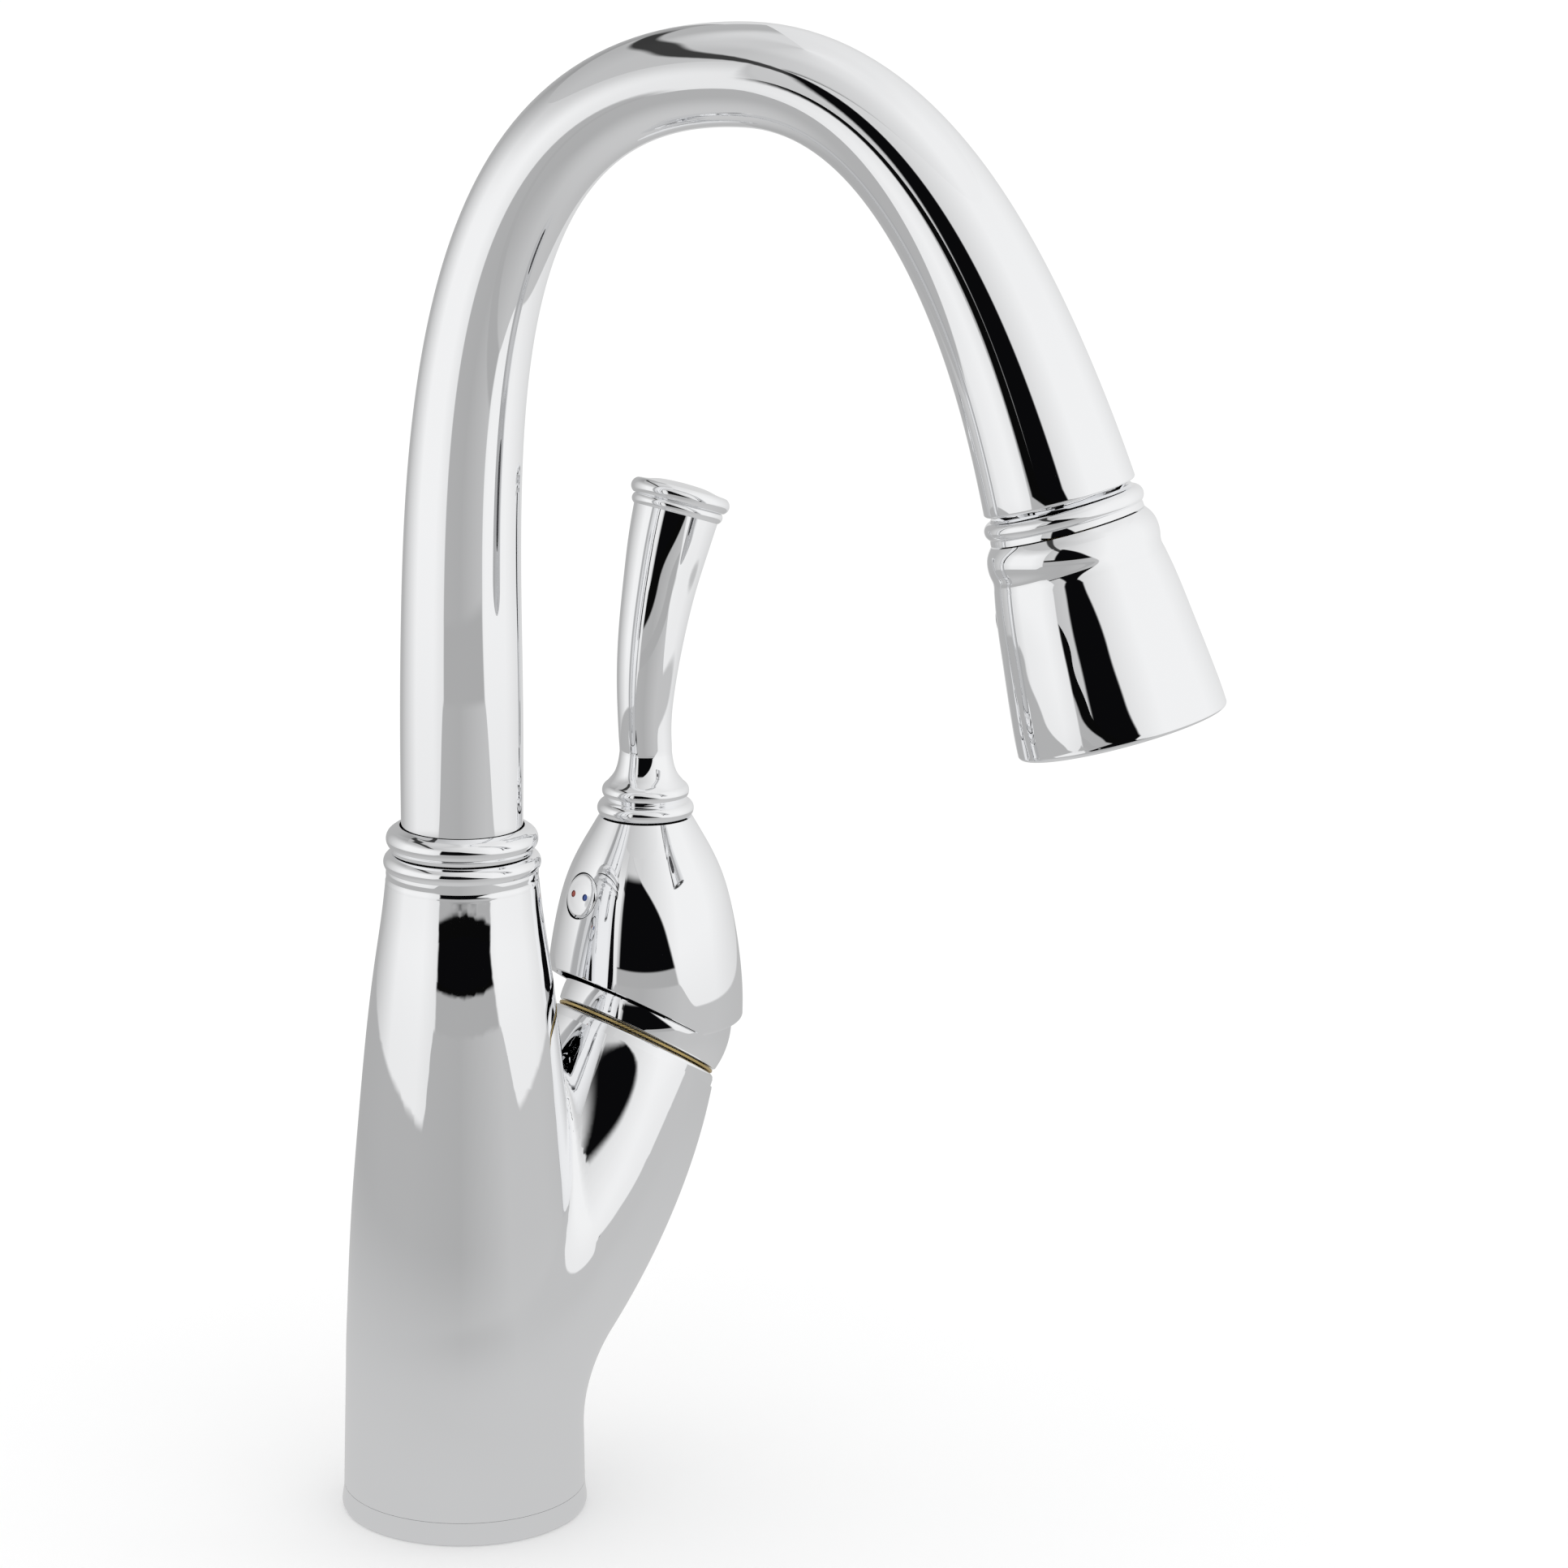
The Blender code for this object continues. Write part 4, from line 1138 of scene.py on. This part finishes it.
@dataclass
class Handle:
    """Bell over the bonnet, curved lever with two beads at its foot, end cap and index button."""

    trim: float = 1.1
    tip: Point = (8.0, 114.0)
    tip_lean: float = 18.0
    button_radius: float = 5.0
    button_height: float = 31.0
    button_skin: float = 17.7
    button_lean: float = 16.0

    def build(self) -> None:
        """Make every piece of it."""
        self.bell()
        self.lever()
        self.cap()
        self.index()

    def button_place(self) -> Matrix:
        """Frame on the index button, with Z out and X up."""
        lean = radians(self.button_lean)
        at = PIVOT + Vector((-self.button_skin, 0.0, self.button_height))
        return looking(at, Vector((-cos(lean), 0.0, sin(lean))), Vector((0.0, 1.0, 0.0)))

    def bell(self) -> None:
        """Hollow bell, its column side cut square to the valve, with a seat for the button."""
        outer = flowing([(10.2, 46.8), (12.05, 43.6), (14.25, 39.7), (16.9, 34.0), (19.55, 24.4),
                         (21.1, 14.9),
                         (21.85, 5.0), (21.85, 2.2)], 80)
        rim = arc((21.15, 1.7), 0.7, 0.0, -90.0, 8)[1:]
        inner = [(20.0, 1.0), (19.8, 8.0), (18.9, 18.0), (17.0, 26.0), (13.6, 35.0), (9.0, 40.0), (6.0, 40.0),
                 (6.0, 22.0), (3.3, 22.0), (3.3, 37.6), (0.0, 37.6)]
        bell = Bench.turned("handle_bell_skin", [(0.0, 46.8)] + outer + rim + inner, 144, closed=False)
        Bench.put(bell, pivot_frame())
        axis = Vector((sin(radians(VALVE_TILT)), 0.0, cos(radians(VALVE_TILT))))
        Bench.bisect(bell, PIVOT + axis * self.trim, -axis)
        seat = Bench.rod("button_seat", self.button_radius + 0.25, -6.0, 4.0, self.button_place(), 72)
        screw = Bench.rod("screw_way", 2.4, 3.2, 7.0, looking(PIVOT + Vector((0, 0, self.button_height)),
                                                             Vector((-1, 0, 0)), Vector((0, 1, 0))), 24)
        Bench.cut(bell, seat, screw)
        Bench.done(bell, CHROME, Body.HANDLE, "handle_bell")

    def lever(self) -> None:
        """Two beads, a narrow neck, and the arm that widens and leans out to its tip."""
        lean = radians(self.tip_lean)
        back = (self.tip[0] - 16.0 * sin(lean), self.tip[1] - 16.0 * cos(lean))
        arm = bezier(((0.0, 62.0), (-1.6, 78.0), back, self.tip), 200)
        path = Path(np.vstack([np.linspace((0.0, 47.1), (0.0, 62.0), 40), arm]))
        foot = [(9.6, 47.1)] + arc((8.75, 48.5), 1.9, -48.0, 72.0, 14)[1:] + [(9.05, 50.6)]
        foot += arc((7.75, 52.5), 1.85, -58.0, 62.0, 14)
        foot += flowing([(8.35, 54.5), (7.2, 55.9), (6.25, 58.2), (5.75, 61.2)], 16)[1:]
        width = Spline([(14.1, 5.75), (20.0, 5.85), (28.0, 6.35), (36.0, 6.95), (44.0, 7.5), (52.0, 8.1),
                        (60.0, 8.85), (path.length - 47.1 + 47.1, 9.45)])
        stations = [Station(0.0, z, 0.0, r) for r, z in foot]
        stations += [Station(*path.at(run), path.heading(run), float(width(run)))
                     for run in np.linspace(15.4, path.length, 46)]
        lever = Bench.swept("lever_horn", stations, 96)
        Bench.put(lever, pivot_frame())
        Bench.done(lever, CHROME, Body.HANDLE, "lever_arm")

    def cap(self) -> None:
        """End cap: a small bead, a wider flange and a low domed top."""
        lean = radians(self.tip_lean)
        top = flowing([(0.0, 6.3), (3.0, 6.2), (6.0, 5.85), (8.2, 5.35), (9.3, 5.25)], 20)
        flange = arc((9.2, 3.45), 1.85, 66.0, -60.0, 18)
        bead = arc((8.75, 0.75), 1.45, 48.0, -74.0, 14)
        outline = top + flange + bead + [(7.0, -0.7), (0.0, -0.7)]
        cap = Bench.turned("lever_end_cap", outline, 128, closed=False)
        place = looking(PIVOT + Vector((self.tip[0], 0.0, self.tip[1])), Vector((sin(lean), 0.0, cos(lean))),
                        Vector((0, 1, 0)))
        Bench.put(cap, place)
        Bench.done(cap, CHROME, Body.HANDLE, "lever_cap")

    def index(self) -> None:
        """Low domed button with a red and a blue dot, and a small notch at its foot."""
        r = self.button_radius
        dome = flowing([(0.0, 0.42), (2.0, 0.36), (3.8, 0.15), (r - 0.25, -0.12), (r, -0.42)], 18)
        button = Bench.turned("index_button_cap", dome + [(r, -2.6), (0.0, -2.6)], 72, closed=False)
        notch = Bench.rod("notch", 0.45, -0.9, 1.0, Matrix.Translation((-r + 0.2, 0.0, 0.0)), 16)
        Bench.cut(button, notch)
        Bench.put(button, self.button_place())
        for name, finish, aside, node in (("hot_dot", RED, 2.1, "index_dot_hot"),
                                          ("cold_dot", BLUE, -2.1, "index_dot_cold")):
            seat = self.button_place() @ Matrix.Translation((0.0, aside, 0.0))
            Bench.cut(button, Bench.rod(name + "_seat", 0.78, -0.4, 1.0, seat, 32))
            dot = Bench.turned(name, [(0.0, 0.3), (0.45, 0.27), (0.72, 0.1), (0.72, -0.3), (0.0, -0.3)], 32,
                               closed=False)
            Bench.put(dot, seat)
            Bench.done(dot, finish, Body.HANDLE, node)
        Bench.done(button, CHROME, Body.HANDLE, "index_button")


# ---- carried-over pieces ----------------------------------------------------------------------
class PlainPieces:
    """Frame pieces whose shape is right already, dressed in their finish."""

    finishes: dict[str, Finish] = {
        "base_gasket": RUBBER, "deck_washer": RUBBER, "steel_washer": ZINC, "inlet_tube_hot": COPPER,
        "inlet_tube_cold": COPPER, "outlet_tube": COPPER, "hose_connector": BRASS, "thrust_washer": ACETAL,
        "cartridge_housing": ACETAL, "base_seal": RUBBER, "fixed_disc": CERAMIC, "limit_stop_ring": RED,
        "spout_hub": BRASS, "hub_seal_upper": RUBBER, "hub_seal_lower": RUBBER, "docking_sleeve": DARK,
        "waterway_core": ACETAL, "hose_ferrule": BRASS, "check_valve": DARK, "diverter_spool": ACETAL,
        "cartridge_carrier": DARK, "moving_disc": CERAMIC, "pivot_pin": ZINC, "valve_stem": ZINC,
        "handle_set_screw": ZINC,
    }

    def build(self) -> None:
        """Dress each one."""
        for node, finish in self.finishes.items():
            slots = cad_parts[node].material_slots
            for slot in slots:
                slot.material = finish.material()
            LOG.info("%s: dressed in %s", node, finish.name)


# ---- stage ------------------------------------------------------------------------------------
@dataclass(frozen=True)
class Tones:
    """How light the studio is on each side, from 0 to 255 after one bounce off the plate."""

    rear_left: float
    left: float
    front: float
    right: float
    rear_right: float


@dataclass
class Stage:
    """Pale floor, studio surroundings and the camera."""

    eye: tuple[float, float, float] = (-0.5828, -0.8480, 0.418)
    heading: float = 38.34
    pitch: float = 13.87
    roll: float = 0.68
    lens: float = 113.46
    sensor: float = 36.0
    panel_reach: float = 0.5
    panel_height: float = 0.62
    shade_under_card: float = 168.0
    table_near: float = 196.0
    table_tones: Tones = Tones(rear_left=170.0, left=174.0, front=170.0, right=190.0, rear_right=180.0)
    panel_tones: Tones = Tones(rear_left=174.0, left=241.0, front=208.0, right=241.0, rear_right=205.0)
    panel_top_tones: Tones = Tones(rear_left=152.0, left=202.0, front=208.0, right=239.0, rear_right=217.0)
    sky_tones: Tones = Tones(rear_left=176.0, left=188.0, front=212.0, right=238.0, rear_right=222.0)
    zenith_tones: Tones = Tones(rear_left=212.0, left=200.0, front=219.0, right=231.0, rear_right=222.0)
    left_panel: Point = (-90.0, -50.0)
    right_panel: Point = (50.0, 95.0)
    rear_left_end: float = -145.0
    opening_left: float = -28.0
    opening_right: float = 58.0
    opening_slant: float = 128.0
    card_foot: float = 0.118

    def build(self) -> None:
        """Set up all of it."""
        self.camera()
        self.floor()
        self.panels()
        self.surroundings()

    def camera(self) -> None:
        """Camera at eye height over the deck, to the left of the spout."""
        h, p, r = radians(self.heading), radians(self.pitch), radians(self.roll)
        ahead = Vector((sin(h) * cos(p), cos(h) * cos(p), -sin(p)))
        right = Vector((cos(h), -sin(h), 0.0))
        up = right.cross(ahead)
        across = right * cos(r) + up * sin(r)
        upright = up * cos(r) - right * sin(r)
        data = bpy.data.cameras.new("camera")
        data.lens, data.sensor_width = self.lens, self.sensor
        data.clip_start, data.clip_end = 0.05, 100.0
        camera = bpy.data.objects.new("camera", data)
        bpy.context.scene.collection.objects.link(camera)
        turn = Matrix((across, upright, -ahead)).transposed().to_4x4()
        camera.matrix_world = Matrix.Translation(self.eye) @ turn
        bpy.context.scene.camera = camera

    def bearings(self, sheet: Sheet, where: Wire) -> tuple[Wire, Wire, Wire]:
        """Bearing of a point from the eye's side of the object.

        Args:
            sheet: The node tree.
            where: Position or direction.

        Returns:
            Degrees to the right of the line back to the eye, distance over the floor, and height.
        """
        h = radians(self.heading)
        x, y, z = (sheet.node("ShaderNodeSeparateXYZ", inputs={0: where}, output=axis) for axis in "XYZ")
        across = x * cos(h) - y * sin(h)
        back = x * -sin(h) - y * cos(h)
        turn = sheet.node("ShaderNodeMath", {"operation": "ARCTAN2"}, {0: across, 1: back})
        return turn * (180.0 / pi), (x * x + y * y) ** 0.5, z

    def all_round(self, sheet: Sheet, bearing: Wire, tones: Tones) -> Wire:
        """Brightness by bearing: even over each light panel, and smooth from one side to the next."""
        turns = (-180.0, self.rear_left_end, *self.left_panel, 0.0, *self.right_panel, 180.0)
        levels = (tones.rear_left, tones.rear_left, tones.left, tones.left, tones.front, tones.right, tones.right,
                  tones.rear_right)
        stops = [(turn / 360.0 + 0.5, (self.linear(level),) * 3) for turn, level in zip(turns, levels)]
        return sheet.node("ShaderNodeValToRGB", {"stops": stops}, {0: bearing / 360.0 + 0.5})

    @staticmethod
    def linear(level: float) -> float:
        """Light that shows as a screen level from 0 to 255 after one mirror bounce."""
        return (level / 255.0) ** 2.2 / 0.93

    def floor(self) -> None:
        """Wide pale floor, which the plate mirrors as a plain grey table top."""
        Bench.clear()
        bpy.ops.mesh.primitive_plane_add(size=60.0, location=(0.0, 0.0, 0.0))
        floor = bpy.context.object
        floor.name = floor.data.name = "studio_floor"
        made = bpy.data.materials.new("studio_floor")
        made.use_nodes = True
        sheet = Sheet(made.node_tree)
        bearing, reach, _ = self.bearings(sheet, sheet.place())
        side = self.all_round(sheet, bearing, self.table_tones)
        near = sheet.blend(reach.between(0.05, 0.35), (self.linear(self.table_near),) * 3 + (1.0,), side)
        table = sheet.blend(reach.between(2.6, 3.2), near, (0.003, 0.003, 0.003, 1.0))
        mirrored = sheet.node("ShaderNodeEmission", inputs={"Color": table, "Strength": 1.0})
        pale = sheet.node("ShaderNodeBsdfDiffuse", inputs={"Color": (0.93, 0.93, 0.93, 1.0)})
        glossy = sheet.node("ShaderNodeLightPath", output="Is Glossy Ray")
        shader = sheet.node("ShaderNodeMixShader", inputs={0: glossy, 1: pale, 2: mirrored})
        sheet.node("ShaderNodeOutputMaterial", inputs={"Surface": shader})
        made.cycles.emission_sampling = "NONE"
        floor.data.materials.append(made)

    def panels(self) -> None:
        """Two tall curved light panels on the table, open between them on the eye's side."""
        Bench.clear()
        bpy.ops.mesh.primitive_cylinder_add(vertices=128, radius=self.panel_reach, depth=self.panel_height,
                                            end_fill_type="NOTHING",
                                            location=(0.0, 0.0, self.panel_height / 2))
        wall = bpy.context.object
        wall.name = wall.data.name = "studio_panels"
        Bench.settle(wall)
        made = bpy.data.materials.new("studio_panels")
        made.use_nodes = True
        sheet = Sheet(made.node_tree)
        bearing, _, height = self.bearings(sheet, sheet.place())
        side = self.all_round(sheet, bearing, self.panel_tones)
        upper = self.all_round(sheet, bearing, self.panel_top_tones)
        lower = sheet.blend(height.between(0.02, 0.16), sheet.blend(0.12, side, (0.4, 0.4, 0.4, 1.0)), side)
        shade = sheet.blend(height.between(0.34, 0.62), lower, upper)
        right_edge = self.opening_right - height * self.opening_slant
        left_round = bearing.between(self.opening_left - 16.0, self.opening_left - 2.0)
        right_round = 1.0 - (bearing - right_edge).between(0.0, 16.0)
        foot = left_round * (1.0 - bearing.between(0.0, 1.0)) + right_round * bearing.between(0.0, 1.0)
        under = 1.0 - (height - foot * foot * 0.06).between(0.020, 0.026)
        past_left = bearing.between(self.opening_left - 2.5, self.opening_left)
        before_right = (right_edge - bearing).between(-1.5, 1.5)
        card = past_left * before_right
        gap = card * height.between(self.card_foot - 0.005, self.card_foot)
        shade = sheet.blend(card, shade, (self.linear(self.shade_under_card),) * 3 + (1.0,))
        light = sheet.node("ShaderNodeEmission", inputs={"Color": shade, "Strength": 1.0})
        clear = sheet.node("ShaderNodeBsdfTransparent")
        shader = sheet.node("ShaderNodeMixShader", inputs={0: gap + under * (1.0 - gap), 1: light, 2: clear})
        sheet.node("ShaderNodeOutputMaterial", inputs={"Surface": shader})
        made.cycles.emission_sampling = "NONE"
        wall.data.materials.append(made)
        wall.visible_camera = wall.visible_diffuse = wall.visible_shadow = False

    def surroundings(self) -> None:
        """White studio, with a dark room behind the eye and a dark seam along the panel's top."""
        world = bpy.data.worlds.new("studio")
        world.use_nodes = True
        sheet = Sheet(world.node_tree)
        toward = sheet.node("ShaderNodeTexCoord", output="Generated")
        bearing, _, height = self.bearings(sheet, toward)
        rise = sheet.node("ShaderNodeMath", {"operation": "ARCSINE"}, {0: height}) * (180.0 / pi)
        side = self.all_round(sheet, bearing, self.sky_tones)
        top = self.all_round(sheet, bearing, self.zenith_tones)
        sky = sheet.blend(rise.between(52.0, 68.0), side, top)
        off = (bearing + 100.0) / 63.0
        seam = 1.0 - (rise - (57.0 - off * off * 24.0)).size().between(2.4, 4.6)
        seam = seam * bearing.between(-172.0, -160.0) * (1.0 - bearing.between(-30.0, -15.0))
        sky = sheet.blend(seam * 0.95, sky, (0.02, 0.02, 0.02, 1.0))
        dark = bearing.between(self.opening_left - 3.0, self.opening_left)
        dark = dark * (1.0 - bearing.between(60.0, 63.0))
        dark = dark * (1.0 - rise.between(30.0, 36.0))
        sky = sheet.blend(dark, sky, (0.003, 0.003, 0.0035, 1.0))
        mirrored = sheet.node("ShaderNodeBackground", inputs={"Color": sky, "Strength": 1.0})
        plain = sheet.node("ShaderNodeBackground", inputs={"Color": (1.0, 1.0, 1.0, 1.0), "Strength": 1.12})
        glossy = sheet.node("ShaderNodeLightPath", output="Is Glossy Ray")
        shader = sheet.node("ShaderNodeMixShader", inputs={0: glossy, 1: plain, 2: mirrored})
        sheet.node("ShaderNodeOutputWorld", inputs={"Surface": shader})
        world.cycles.sampling_method = "NONE"
        bpy.context.scene.world = world
        bpy.context.scene.view_settings.view_transform = "Standard"


def main() -> None:
    """Build the stage, then the faucet's pieces in order."""
    logging.basicConfig(level=logging.INFO, format="%(name)s: %(message)s")
    for part in (Stage(), DeckFixing(), Casting(), Spout(), SprayHead(), Valve(), Handle(), PlainPieces()):
        LOG.info("building %s", type(part).__name__)
        part.build()


if __name__ == "__main__":
    main()
